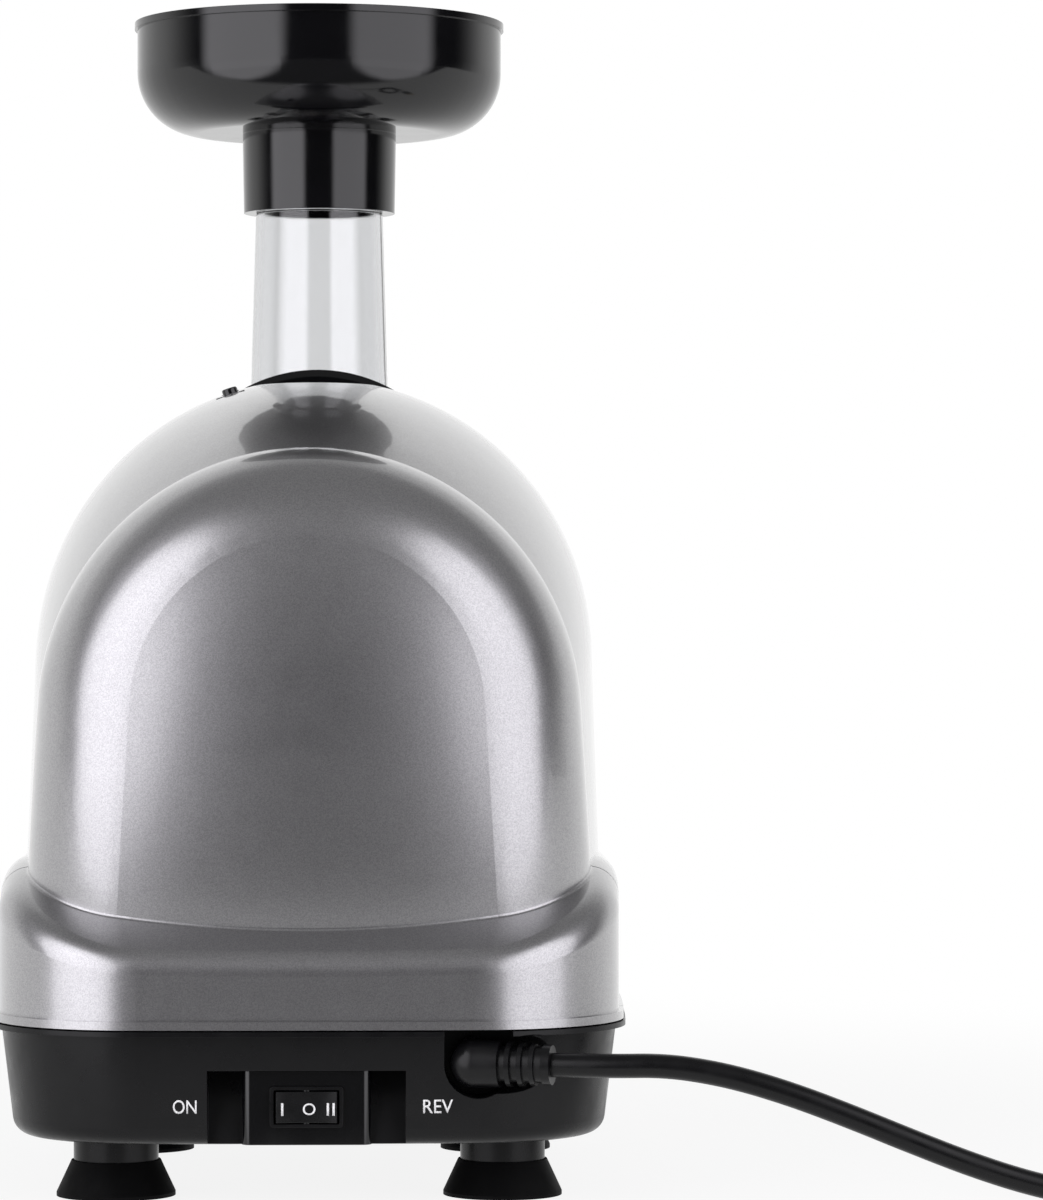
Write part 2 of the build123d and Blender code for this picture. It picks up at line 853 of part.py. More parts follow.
# Switch: panel in the recess, snap-in body, rocker with its pins, and brass terminals
bezel_y = rear_y + panel_depth - bezel_proud
pivot_y = bezel_y - rocker_proud + rocker_front
switch_box = (bezel_width - switch_wall - 2 * seat_gap, bezel_height - switch_wall - 2 * seat_gap)
switch_back_y = rear_y + panel_depth + switch_box_length
terminal_points = [(x, 0) for x in (-terminal_spacing, 0, terminal_spacing)]

with BuildPart() as switch_panel:
    add(recess_profile(panel_half, panel_depth, seat_gap))
    split(bisect_by=Plane.XY.offset(base_bottom_z + seat_gap), keep=Keep.TOP)
    face = switch_panel.faces().sort_by(Axis.Y)[0]
    fillet(face.edges().filter_by(Axis.Z), panel_round)
    with BuildSketch(across(rear_y + panel_depth, 0, switch_z)):
        Rectangle(bezel_width - switch_wall, bezel_height - switch_wall)
    extrude(amount=recess_depth, mode=Mode.SUBTRACT)
save(switch_panel.part, "switch_panel")

with BuildPart() as switch_body:
    with BuildSketch(across(bezel_y, 0, switch_z)):
        RectangleRounded(bezel_width, bezel_height, 2 * switch_wall)
    extrude(amount=bezel_proud - press_gap)
    with BuildSketch(across(bezel_y, 0, switch_z)):
        Rectangle(*switch_box)
    extrude(amount=switch_back_y - bezel_y)
    with BuildSketch(across(bezel_y, 0, switch_z)):
        Rectangle(window_width, window_height)
    extrude(amount=switch_back_y - switch_back - bezel_y, mode=Mode.SUBTRACT)
    with BuildSketch(Plane.XY.offset(switch_z)):
        with Locations((0, pivot_y)):
            Circle(rocker_pin_radius + running_fit)
    extrude(amount=rocker_socket_half, both=True, mode=Mode.SUBTRACT)
    with BuildSketch(across(switch_back_y, 0, switch_z)):
        with Locations(*terminal_points):
            Rectangle(terminal_thickness + 2 * press_gap, terminal_width + 2 * press_gap)
    extrude(amount=-switch_back, mode=Mode.SUBTRACT)
save(switch_body.part, "switch_body")

with BuildPart() as switch_terminals:
    with BuildSketch(across(switch_back_y - switch_back, 0, switch_z)):
        with Locations(*terminal_points):
            Rectangle(terminal_thickness, terminal_width)
    extrude(amount=switch_back + terminal_length)
save(switch_terminals.part, "switch_terminals")

with BuildPart() as switch_rocker:
    with BuildSketch(Plane.XY.offset(switch_z)):
        with Locations((0, pivot_y)):
            Circle(rocker_radius)
        with Locations((0, pivot_y + (rocker_back - rocker_front) / 2)):
            Rectangle(2 * rocker_radius, rocker_front + rocker_back, mode=Mode.INTERSECT)
        face_half = sqrt(rocker_radius**2 - rocker_front**2)
        dish_radius = (face_half**2 + rocker_dish**2) / (2 * rocker_dish)
        with Locations((0, pivot_y - rocker_front + rocker_dish - dish_radius)):
            Circle(dish_radius, mode=Mode.SUBTRACT)
    extrude(amount=window_height / 2 - moving_gap, both=True)
    with BuildSketch(Plane.XY.offset(switch_z)):
        with Locations((0, pivot_y)):
            Circle(rocker_pin_radius)
    extrude(amount=rocker_pin_half, both=True)
save(switch_rocker.part, "switch_rocker")

# Suction feet and the screws of the shells
barb_z = floor_z + press_gap
cup_edge = (cup_radius - cup_rim, 0)
cup_top_z = foot_boss_z - press_gap
with BuildPart() as foot:
    with BuildSketch(Plane.XZ):
        with BuildLine():
            TangentArc((0, cup_hollow), cup_edge, tangent=(1, 0))
            Polyline(
                cup_edge,
                (cup_radius, 0),
                (cup_radius, cup_rim / 2),
                (cup_top_radius, cup_top_z),
                (foot_stem_radius, cup_top_z),
                (foot_stem_radius, barb_z),
                (foot_stem_radius + foot_barb, barb_z),
                (foot_stem_radius - foot_barb, foot_stem_top_z),
                (0, foot_stem_top_z),
                (0, cup_hollow),
            )
        make_face()
    revolve(axis=Axis.Z)

with BuildPart() as suction_feet:
    with Locations(*foot_points):
        add(foot.part)
save(suction_feet.part, "suction_feet")

with BuildPart() as base_screws:
    with BuildSketch(Plane.XY.offset(floor_z + head_sink - press_gap)):
        with Locations(*post_points):
            Circle(screw_head_radius)
    extrude(amount=-screw_head_height)
    with BuildSketch(Plane.XY.offset(floor_z)):
        with Locations(*post_points):
            Circle(screw_radius)
    extrude(amount=shell_foot_z + post_height - 2 * post_roof - floor_z)
    with BuildSketch(Plane.XY.offset(floor_z + head_sink - press_gap - screw_head_height)):
        with Locations(*post_points):
            Rectangle(1.5 * screw_head_radius, screw_radius / 2)
            Rectangle(screw_radius / 2, 1.5 * screw_head_radius)
    extrude(amount=screw_head_height / 2, mode=Mode.SUBTRACT)
save(base_screws.part, "base_screws")

# Mains lead inside the base: elbow boot, tail of the lead, clamp and its screws
boot_section = Plane(origin=boot_start, x_dir=boot_out, z_dir=(boot_out.Y, -boot_out.X, 0))
groove_step = (boot_length - boot_root_radius) / (boot_ribs + 0.5)
boot_inner_depth = well_depth + well_wall + press_gap

with BuildPart() as strain_relief:
    with BuildSketch(boot_section):
        with BuildLine():
            Polyline(
                (0, 0), (0, boot_root_radius), (boot_length, boot_tip_radius), (boot_length, 0), close=True
            )
        make_face()
        for rib in range(boot_ribs):
            with Locations((boot_root_radius + (rib + 0.5) * groove_step, boot_root_radius)):
                Rectangle(boot_groove_width, 2 * boot_groove + 1, mode=Mode.SUBTRACT)
    revolve(axis=Axis(boot_start, boot_out))
    with Locations(boot_start):
        Sphere(boot_root_radius)
    with BuildSketch(across(rear_y + boot_depth, boot_x, boot_z)):
        Circle(boot_neck_radius)
    extrude(amount=boot_inner_depth + boot_flange - boot_depth)
    with BuildSketch(across(rear_y + boot_inner_depth, boot_x, boot_z)):
        Circle(boot_flange_radius)
    extrude(amount=boot_flange)
save(strain_relief.part, "strain_relief")

with BuildPart() as cord_tail:
    with BuildSketch(across(rear_y + boot_inner_depth + boot_flange + press_gap, boot_x, boot_z)):
        Circle(cord_diameter / 2)
    extrude(amount=tail_length)
save(cord_tail.part, "cord_tail")

with BuildPart() as cord_clamp:
    with BuildSketch(Plane.XY.offset(clamp_z + press_gap)):
        with Locations((boot_x, rear_y + clamp_depth)):
            RectangleRounded(clamp_length, clamp_width, clamp_width / 4)
    extrude(amount=cord_diameter / 2 + clamp_bar)
    with BuildSketch(across(rear_y + clamp_depth - clamp_width, boot_x, boot_z)):
        Circle(cord_diameter / 2 + press_gap)
    extrude(amount=2 * clamp_width, mode=Mode.SUBTRACT)
    with BuildSketch(Plane.XY.offset(clamp_z)):
        with Locations(*clamp_points):
            Circle(clamp_screw_radius + press_gap)
    extrude(amount=clamp_width, mode=Mode.SUBTRACT)
save(cord_clamp.part, "cord_clamp")

with BuildPart() as clamp_screws:
    clamp_top = clamp_z + press_gap + cord_diameter / 2 + clamp_bar
    with BuildSketch(Plane.XY.offset(clamp_top + press_gap)):
        with Locations(*clamp_points):
            Circle(clamp_head_radius)
    extrude(amount=clamp_head_height)
    with BuildSketch(Plane.XY.offset(clamp_top + clamp_head_height)):
        with Locations(*clamp_points):
            Circle(clamp_screw_radius)
    extrude(amount=clamp_z - clamp_width + screw_skin - clamp_top - clamp_head_height)
save(clamp_screws.part, "clamp_screws")

# Mains lead outside: the free stretch falls to the floor, then the rest lies coiled beside the machine
def cord_height(x):
    """Height of the free stretch: level from the boot, then an easy fall to the floor."""
    share = min(max((x - cord_fall_start) / (cord_fall_end - cord_fall_start), 0), 1)
    return cord_high_z - (cord_high_z - coil_z) * share**2 * (3 - 2 * share)


def cord_y(x):
    """The free stretch swings from the boot's slant to a line square to the machine."""
    swing = (boot_end.Y - rear_y - cord_far_depth) * exp((boot_end.X - x) / cord_swing_length)
    return rear_y + cord_far_depth + swing


cord_points = [boot_end + boot_out * press_gap, boot_end + boot_out * cord_first_run]
cord_runs = round((coil_start_x - cord_points[1].X) / cord_step)
for run in range(1, cord_runs):
    x = coil_start_x - (cord_runs - run) * cord_step
    cord_points.append(Vector(x, cord_y(x), cord_height(x)))
coil_start = Vector(coil_start_x, cord_points[-1].Y, cord_points[-1].Z)
cord_points.append(coil_start)

turn_radii = []
for before, corner, after in zip(cord_points, cord_points[1:], cord_points[2:]):
    into, out = corner - before, after - corner
    half_turn = radians(into.get_angle(out)) / 2
    turn_radii.append(0.45 * min(into.length, out.length) / tan(half_turn))

with BuildPart() as cord:
    with BuildLine() as route:
        FilletPolyline(*cord_points, radius=turn_radii)
    with BuildSketch(Plane(origin=cord_points[0], z_dir=boot_out)):
        Circle(cord_diameter / 2)
    sweep(path=route.line)
save(cord.part, "cord")
cord_length = sum(edge.length for edge in route.edges())
print("cord radii", [round(r) for r in turn_radii], "length", round(cord_length, 1))
print("cord volume over section", round(cord.part.volume / (pi * cord_diameter**2 / 4), 1))

coil_middle = coil_start + Vector(cord_diameter, coil_outer_radius, 0)


def coil_place(turn):
    """Point of the coil after so many turns: inward on the floor, one layer up, and outward again."""
    angle = 2 * pi * turn - pi / 2
    radius = coil_outer_radius - coil_pitch * (coil_turns_in - abs(turn - coil_turns_in))
    share = min(max(2 * (turn - coil_turns_in) + 0.5, 0), 1)
    climb = coil_pitch * share**2 * (3 - 2 * share)
    return coil_middle + Vector(radius * cos(angle), radius * sin(angle), climb)


def coil_heading(turn):
    """Direction of the coil there, level wherever the spiral turns back."""
    step = 0.001
    return (coil_place(turn + step) - coil_place(turn - step)).normalized()


def arc_end(start, end, tangent):
    """Direction in which an arc that leaves start along tangent comes to end."""
    chord = (end - start).normalized()
    return chord * (2 * chord.dot(tangent)) - tangent


def biarc(start, heading, end, last_heading):
    """Two arcs, tangent to each other and to both headings."""
    gap = end - start
    both = heading + last_heading
    along = gap.dot(both)
    spread = 2 * (1 - heading.dot(last_heading))
    reach = gap.dot(gap) / (2 * along)
    if spread > 0.001:
        reach = (sqrt(along**2 + spread * gap.dot(gap)) - along) / spread
    middle = (start + heading * reach + end - last_heading * reach) * 0.5
    TangentArc(start, middle, tangent=heading)
    TangentArc(middle, end, tangent=arc_end(start, middle, heading))


coil_stops = [quarter / 4 for quarter in range(round(4 * coil_turns) + 1)]
coil_out = Vector(0, 1, 0)
coil_leave = coil_place(coil_turns)
plug_entry = Vector(coil_leave.X, coil_leave.Y + coil_exit_run, plug_z)
coil_end = plug_entry + coil_out * cord_diameter

with BuildPart() as cord_coil:
    with BuildLine() as winding:
        Line(coil_start + Vector(press_gap, 0, 0), coil_place(0))
        places = [coil_place(stop) for stop in coil_stops] + [plug_entry]
        headings = [Vector(1, 0, 0)] + [coil_heading(stop) for stop in coil_stops[1:-1]] + [coil_out] * 2
        for first, last in zip(range(len(places) - 1), range(1, len(places))):
            biarc(places[first], headings[first], places[last], headings[last])
        Line(plug_entry, coil_end)
    with BuildSketch(Plane(origin=coil_start + Vector(press_gap, 0, 0), z_dir=(1, 0, 0))):
        Circle(cord_diameter / 2)
    sweep(path=winding.line)
save(cord_coil.part, "cord_coil")

coil_length = sum(edge.length for edge in winding.edges())
samples = [edge @ (step / 8) for edge in winding.edges() for step in range(8)]
spaces = []
for first, place in enumerate(samples):
    for last in range(first + 24, len(samples)):
        spaces.append((place - samples[last]).length)
print("coil length", round(coil_length, 1), "least gap to itself", round(min(spaces) - cord_diameter, 2))
print("coil volume over section", round(cord_coil.part.volume / (pi * cord_diameter**2 / 4), 1))

# Tie round the coil, plug and its blades
tie_inner = coil_outer_radius - coil_turns_in * coil_pitch + coil_pitch / 4 - cord_diameter / 2
tie_outer = coil_outer_radius - coil_pitch / 4 + cord_diameter / 2
tie_middle = Vector(-(tie_inner + tie_outer) / 2, 0, coil_pitch / 2)

with BuildPart() as coil_tie:
    with BuildSketch(Plane(origin=coil_middle + tie_middle, x_dir=(1, 0, 0), z_dir=(0, -1, 0))):
        inner_width = tie_outer - tie_inner + 2 * tie_gap
        inner_height = coil_pitch + cord_diameter + 2 * tie_gap
        rounding = cord_diameter / 2
        RectangleRounded(inner_width + 2 * tie_thickness, inner_height + 2 * tie_thickness, rounding)
        RectangleRounded(inner_width, inner_height, rounding - tie_thickness, mode=Mode.SUBTRACT)
    extrude(amount=tie_width / 2, both=True)
save(coil_tie.part, "coil_tie")

with BuildPart() as plug:
    with BuildSketch(Plane.XZ.offset(-(coil_end.Y + press_gap))):
        with Locations((coil_end.X, plug_z)):
            RectangleRounded(plug_width, plug_height, plug_round)
    extrude(amount=-plug_length)
    ends = plug.faces().filter_by(Axis.Y).sort_by(Axis.Y)
    fillet(ends[0].edges(), plug_round / 2)
    fillet(plug.faces().sort_by(Axis.Y)[-1].edges(), plug_round / 5)
    plug_front_y = coil_end.Y + press_gap + plug_length
    blade_points = [(coil_end.X + side * pin_spacing / 2, plug_z) for side in (-1, 1)]
    with BuildSketch(Plane.XZ.offset(-plug_front_y)):
        with Locations(*blade_points):
            Rectangle(pin_thickness + 2 * press_gap, pin_width + 2 * press_gap)
    extrude(amount=pin_length / 2, mode=Mode.SUBTRACT)
save(plug.part, "plug")

with BuildPart() as plug_pins:
    with BuildSketch(Plane.XZ.offset(-(plug_front_y - pin_length / 2 + press_gap))):
        with Locations(*blade_points):
            Rectangle(pin_thickness, pin_width)
    extrude(amount=-1.5 * pin_length)
    tips = plug_pins.faces().filter_by(Axis.Y).group_by(Axis.Y)[-1]
    chamfer(tips.edges().filter_by(Axis.X), pin_thickness)
save(plug_pins.part, "plug_pins")

# Circuit board in its slots beside the motor, with a terminal block, a capacitor and a relay
board_face = Plane(origin=(board_x - board_thickness / 2, 0, 0), x_dir=(0, 1, 0), z_dir=(-1, 0, 0))
board_middle_y = rear_y + board_depth + board_length / 2
board_middle_z = board_bottom_z + board_height / 2

with BuildPart() as circuit_board:
    with BuildSketch(board_face):
        with Locations((board_middle_y, -board_middle_z)):
            Rectangle(board_length, board_height)
    extrude(amount=-board_thickness)
save(circuit_board.part, "circuit_board")

with BuildPart() as board_parts:
    parts_x = board_x - board_thickness / 2 - press_gap
    with Locations((parts_x - block_size / 2, rear_y + board_depth + block_size / 2 + block_gap, boot_z)):
        Box(block_size, block_size, block_size)
    cap_z = board_bottom_z + board_height - 1.5 * capacitor_radius
    with BuildSketch(Plane(origin=(parts_x, board_middle_y, cap_z), z_dir=(-1, 0, 0))):
        Circle(capacitor_radius)
    extrude(amount=capacitor_length)
    with Locations((parts_x - relay_thickness / 2, board_middle_y + relay_length, board_middle_z)):
        Box(relay_thickness, relay_length, relay_height)
save(board_parts.part, "board_parts")


# Spur gears
def involute(angle):
    """Polar angle of an involute where its pressure angle is the given one."""
    return tan(angle) - angle


def gear_face(teeth, module, turn):
    """Tooth outline of a spur gear with one tooth at the angle turn, each flank in straight facets."""
    pitch = module * teeth / 2
    base = pitch * cos(pressure_angle)
    root = pitch - tooth_dedendum * module
    tip = pitch + tooth_addendum * module
    thickness = pi / (2 * teeth) - tooth_backlash / pitch + involute(pressure_angle)
    points = []
    for tooth in range(teeth):
        middle = radians(turn) + 2 * pi * tooth / teeth
        flank = []
        for radius in (root, max(base, root + module / 10), pitch, tip):
            flank.append((radius, thickness - involute(acos(min(base / radius, 1)))))
        points += [(r * cos(middle - half), r * sin(middle - half)) for r, half in flank]
        points += [(r * cos(middle + half), r * sin(middle + half)) for r, half in reversed(flank)]
    with BuildSketch() as face:
        with BuildLine():
            Polyline(*points, close=True)
        make_face()
    return face.sketch


case_inner_depth = case_depth + case_plate
case_front_depth = case_depth + case_length
cover_depth = case_front_depth - case_plate
output_tip = output_module * (output_teeth / 2 + tooth_addendum)
idler_tip = motor_module * (idler_teeth / 2 + tooth_addendum)

with BuildPart() as motor_pinion:
    with BuildSketch(across(rear_y + wheel_depth - pinion_overhang, 0, motor_z)):
        add(gear_face(pinion_teeth, motor_module, 90))
        Circle(motor_shaft_radius + press_gap, mode=Mode.SUBTRACT)
    extrude(amount=wheel_width + 2 * pinion_overhang)
save(motor_pinion.part, "motor_pinion")

with BuildPart() as idler_gear:
    with BuildSketch(across(rear_y + wheel_depth, 0, idler_z)):
        add(gear_face(idler_teeth, motor_module, -90 + 180 / idler_teeth))
    extrude(amount=wheel_width)
    web_outer = motor_module * (idler_teeth / 2 - tooth_dedendum) - wheel_rim
    web_inner = idler_hub_radius + wheel_rim
    web_recess = (wheel_width - wheel_web) / 2
    add(ring(wheel_depth, web_recess, web_outer, web_inner, idler_z), mode=Mode.SUBTRACT)
    far_recess = wheel_depth + wheel_width - web_recess
    add(ring(far_recess, web_recess, web_outer, web_inner, idler_z), mode=Mode.SUBTRACT)
    with BuildSketch(across(rear_y + wheel_depth, 0, idler_z)):
        add(gear_face(idler_pinion_teeth, output_module, 90))
    extrude(amount=idler_pinion_end - wheel_depth)
    hub_start = case_inner_depth + hub_play
    hub_length = cover_depth - hub_play - hub_start
    add(ring(hub_start, hub_length, idler_hub_radius, idler_pin_radius + running_fit, idler_z))
    with BuildSketch(across(rear_y + hub_start, 0, idler_z)):
        Circle(idler_pin_radius + running_fit)
    extrude(amount=hub_length, mode=Mode.SUBTRACT)
save(idler_gear.part, "idler_gear")

with BuildPart() as output_gear:
    with BuildSketch(across(rear_y + stage_depth, 0, drive_axis_z)):
        add(gear_face(output_teeth, output_module, -90 + 180 / output_teeth))
        Circle(output_shaft_radius + press_gap, mode=Mode.SUBTRACT)
    extrude(amount=output_width)
    rim_inner = output_module * (output_teeth / 2 - tooth_dedendum) - wheel_rim
    recess = (output_width - output_web) / 2
    add(ring(stage_depth, recess, rim_inner, output_hub_radius, drive_axis_z), mode=Mode.SUBTRACT)
    far_side = stage_depth + output_width - recess
    add(ring(far_side, recess, rim_inner, output_hub_radius, drive_axis_z), mode=Mode.SUBTRACT)
save(output_gear.part, "output_gear")

with BuildPart() as idler_pin:
    with BuildSketch(across(rear_y + case_depth + hub_play, 0, idler_z)):
        Circle(idler_pin_radius)
    extrude(amount=case_length - 2 * hub_play)
save(idler_pin.part, "idler_pin")

# Output shaft with its bearings
rear_bearing_depth = case_inner_depth - hub_play - rear_bearing_length
front_bearing_depth = cover_depth + hub_play
shaft_end_depth = socket_depth + dog_grip
shoulder_rear = stage_depth - output_collar
shoulder_front = cover_depth - hub_play
with BuildPart() as output_shaft:
    add(
        turned(
            [
                (rear_bearing_depth + hub_play, 0),
                (rear_bearing_depth + hub_play, output_rear_radius),
                (shoulder_rear, output_rear_radius),
                (shoulder_rear, output_shaft_radius),
                (shoulder_front, output_shaft_radius),
                (shoulder_front, output_front_radius),
                (shaft_end_depth, output_front_radius),
                (shaft_end_depth, 0),
            ],
            axis_at(drive_axis_z),
        )
    )
save(output_shaft.part, "output_shaft")

with BuildPart() as output_bearings:
    rear_bore = output_rear_radius + running_fit
    add(ring(rear_bearing_depth, rear_bearing_length, rear_bore + bearing_ring, rear_bore, drive_axis_z))
    front_bore = output_front_radius + running_fit
    add(ring(front_bearing_depth, front_bearing_length, front_bore + bearing_ring, front_bore, drive_axis_z))
save(output_bearings.part, "output_bearings")

# Gear case on its pedestal, and its cover
ear_places = []
for ear_radius, ear_z, ear_angle in (
    (output_tip, drive_axis_z, case_ear_angle),
    (idler_tip, idler_z, 0),
    (case_nose_radius - case_play, motor_z, 0),
):
    reach = ear_radius + case_play + case_skin + screw_radius
    ear_x = reach * cos(radians(ear_angle))
    ear_y = ear_z - drive_axis_z + reach * sin(radians(ear_angle))
    ear_places += [(-ear_x, ear_y), (ear_x, ear_y)]


def case_hull(skin):
    """The outline round the three gear axes, grown by skin, measured from the drive axis."""
    with BuildSketch() as hull:
        Circle(output_tip + case_play + skin)
        with Locations((0, idler_z - drive_axis_z)):
            Circle(idler_tip + case_play + skin)
        with Locations((0, motor_z - drive_axis_z)):
            Circle(case_nose_radius + skin)
        make_hull(hull.edges())
    return hull.sketch


with BuildPart() as gear_case:
    with BuildSketch(across(rear_y + case_depth, 0, drive_axis_z)):
        add(case_hull(case_skin))
    extrude(amount=cover_depth - case_depth - press_gap)
    with BuildSketch(across(rear_y + cover_depth - case_ear_length, 0, drive_axis_z)):
        with Locations(*ear_places):
            Circle(case_ear_radius)
    extrude(amount=case_ear_length - press_gap)
    with BuildSketch(across(rear_y + case_depth)):
        with Locations((0, (pedestal_z + motor_z) / 2)):
            Rectangle(2 * case_foot_half, motor_z - pedestal_z)
    extrude(amount=cover_depth - case_depth - press_gap)
    with BuildSketch(across(rear_y + case_inner_depth)):
        pocket_top = motor_z - case_nose_radius - 2 * case_skin
        pocket_bottom = pedestal_z + case_flange
        with Locations((0, (pocket_top + pocket_bottom) / 2)):
            Rectangle(2 * (case_foot_half - case_skin), pocket_top - pocket_bottom)
    extrude(amount=case_length, mode=Mode.SUBTRACT)
    with BuildSketch(Plane.XY.offset(pedestal_z)):
        with Locations((0, rear_y + case_depth + case_length / 2)):
            RectangleRounded(2 * case_flange_half, case_length, case_flange)
    extrude(amount=case_flange)
    with BuildSketch(across(rear_y + case_depth, 0, drive_axis_z)):
        Circle(output_rear_radius + running_fit + bearing_ring + bearing_boss)
    extrude(amount=rear_bearing_depth - hub_play - bearing_lip - case_depth)
    with BuildSketch(across(rear_y + case_inner_depth, 0, drive_axis_z)):
        add(case_hull(0))
    extrude(amount=case_length, mode=Mode.SUBTRACT)
    with BuildSketch(across(rear_y + case_inner_depth, 0, drive_axis_z)):
        Circle(output_rear_radius + running_fit + bearing_ring + press_gap)
    extrude(amount=-(rear_bearing_length + 2 * hub_play), mode=Mode.SUBTRACT)
    with BuildSketch(across(rear_y + case_depth, 0, idler_z)):
        Circle(idler_pin_radius + press_gap)
    extrude(amount=case_plate, mode=Mode.SUBTRACT)
    with BuildSketch(across(rear_y + case_depth, 0, motor_z)):
        Circle(motor_bearing_radius + motor_boss + 2 * press_gap)
    extrude(amount=case_plate, mode=Mode.SUBTRACT)
    with BuildSketch(across(rear_y + cover_depth, 0, drive_axis_z)):
        with Locations(*ear_places):
            Circle(screw_radius + press_gap)
    extrude(amount=2 - case_ear_length, mode=Mode.SUBTRACT)
    with BuildSketch(Plane.XY.offset(pedestal_z)):
        with Locations(*case_mounts):
            Circle(screw_radius + press_gap)
    extrude(amount=2 * case_flange, mode=Mode.SUBTRACT)
save(gear_case.part, "gear_case")

with BuildPart() as gear_cover:
    with BuildSketch(across(rear_y + cover_depth, 0, drive_axis_z)):
        add(case_hull(case_skin))
        with Locations(*ear_places):
            Circle(case_ear_radius)
    extrude(amount=case_plate)
    front_seat = front_bore + bearing_ring + press_gap
    boss_front = front_bearing_depth + front_bearing_length + hub_play + bearing_lip
    with BuildSketch(across(rear_y + cover_depth, 0, drive_axis_z)):
        Circle(front_seat + bearing_boss)
    extrude(amount=boss_front - cover_depth)
    with BuildSketch(across(rear_y + cover_depth, 0, drive_axis_z)):
        Circle(front_seat)
    extrude(amount=boss_front - bearing_lip - cover_depth, mode=Mode.SUBTRACT)
    with BuildSketch(across(rear_y + cover_depth, 0, drive_axis_z)):
        Circle(front_seat - bearing_lip)
    extrude(amount=boss_front - cover_depth, mode=Mode.SUBTRACT)
    with BuildSketch(across(rear_y + cover_depth, 0, drive_axis_z)):
        with Locations((0, idler_z - drive_axis_z)):
            Circle(idler_pin_radius + press_gap)
        with Locations(*ear_places):
            Circle(screw_radius + press_gap)
    extrude(amount=case_plate, mode=Mode.SUBTRACT)
save(gear_cover.part, "gear_cover")

with BuildPart() as gear_case_screws:
    with BuildSketch(across(rear_y + case_front_depth + press_gap, 0, drive_axis_z)):
        with Locations(*ear_places):
            Circle(screw_head_radius)
    extrude(amount=screw_head_height)
    with BuildSketch(across(rear_y + case_front_depth + screw_head_height, 0, drive_axis_z)):
        with Locations(*ear_places):
            Circle(screw_radius)
    extrude(amount=3 - case_ear_length - case_plate - screw_head_height)
save(gear_case_screws.part, "gear_case_screws")

# Motor: can, end bell, magnets, rotor, commutator, brushes, shaft, fan and bearings
can_rear = case_depth - motor_length + press_gap
can_front = case_depth - press_gap
boss_radius = motor_bearing_radius + motor_boss
bearing_seat = motor_bearing_radius + press_gap
shaft_opening = motor_shaft_radius + shaft_play
nose_bearing_depth = case_inner_depth - hub_play - motor_bearing_length
tail_bearing_depth = can_rear - press_gap - motor_bearing_length

with BuildPart() as motor_can:
    add(
        turned(
            [
                (can_rear, motor_radius - motor_wall),
                (can_rear, motor_radius),
                (can_front, motor_radius),
                (can_front, boss_radius),
                (case_inner_depth, boss_radius),
                (case_inner_depth, bearing_seat),
                (nose_bearing_depth - press_gap, bearing_seat),
                (nose_bearing_depth - press_gap, shaft_opening),
                (nose_bearing_depth - motor_wall, shaft_opening),
                (nose_bearing_depth - motor_wall, boss_radius),
                (can_front - motor_wall, boss_radius),
                (can_front - motor_wall, motor_radius - motor_wall),
            ],
            axis_at(motor_z),
        )
    )
    with BuildSketch(across(rear_y + case_depth, 0, motor_z)):
        with Locations((0, idler_z - motor_z)):
            Circle(idler_pin_radius)
    extrude(amount=-hub_play, mode=Mode.SUBTRACT)
save(motor_can.part, "motor_can")

with BuildPart() as motor_end_bell:
    bell_front = can_rear - press_gap
    add(
        turned(
            [
                (tail_bearing_depth - motor_wall, shaft_opening),
                (tail_bearing_depth - motor_wall, boss_radius),
                (bell_front - end_bell, boss_radius),
                (bell_front - end_bell, motor_radius),
                (bell_front, motor_radius),
                (bell_front, bearing_seat),
                (tail_bearing_depth - press_gap, bearing_seat),
                (tail_bearing_depth - press_gap, shaft_opening),
            ],
            axis_at(motor_z),
        )
    )
    with BuildSketch(across(rear_y + bell_front, 0, motor_z)):
        with PolarLocations(bell_vent_circle, bell_vents, 180 / bell_vents):
            Circle(bell_vent_radius)
    extrude(amount=-end_bell, mode=Mode.SUBTRACT)
save(motor_end_bell.part, "motor_end_bell")

with BuildPart() as field_magnets:
    with BuildSketch(across(rear_y + rotor_depth - (magnet_length - rotor_length) / 2, 0, motor_z)):
        Circle(motor_radius - motor_wall - press_gap)
        Circle(motor_radius - motor_wall - magnet_thickness, mode=Mode.SUBTRACT)
        opening = 2 * (motor_radius - motor_wall) * cos(radians(magnet_arc / 2))
        Rectangle(opening, 2 * motor_radius, mode=Mode.SUBTRACT)
    extrude(amount=magnet_length)
save(field_magnets.part, "field_magnets")

with BuildPart() as motor_shaft:
    with BuildSketch(across(rear_y + shaft_rear_depth, 0, motor_z)):
        Circle(motor_shaft_radius)
    extrude(amount=wheel_depth + wheel_width + pinion_overhang - shaft_rear_depth)
save(motor_shaft.part, "motor_shaft")

with BuildPart() as rotor_core:
    with BuildSketch(across(rear_y + rotor_depth, 0, motor_z)):
        Circle(rotor_radius)
        with PolarLocations(rotor_radius, rotor_slots):
            Rectangle(2 * rotor_slot, rotor_slot, mode=Mode.SUBTRACT)
        Circle(motor_shaft_radius + press_gap, mode=Mode.SUBTRACT)
    extrude(amount=rotor_length)
save(rotor_core.part, "rotor_core")

with BuildPart() as rotor_windings:
    winding_outer = rotor_radius - rotor_slot
    winding_inner = commutator_radius
    for start in (rotor_depth - winding_bulge - press_gap, rotor_depth + rotor_length + press_gap):
        add(ring(start, winding_bulge, winding_outer, winding_inner, motor_z))
save(rotor_windings.part, "rotor_windings")

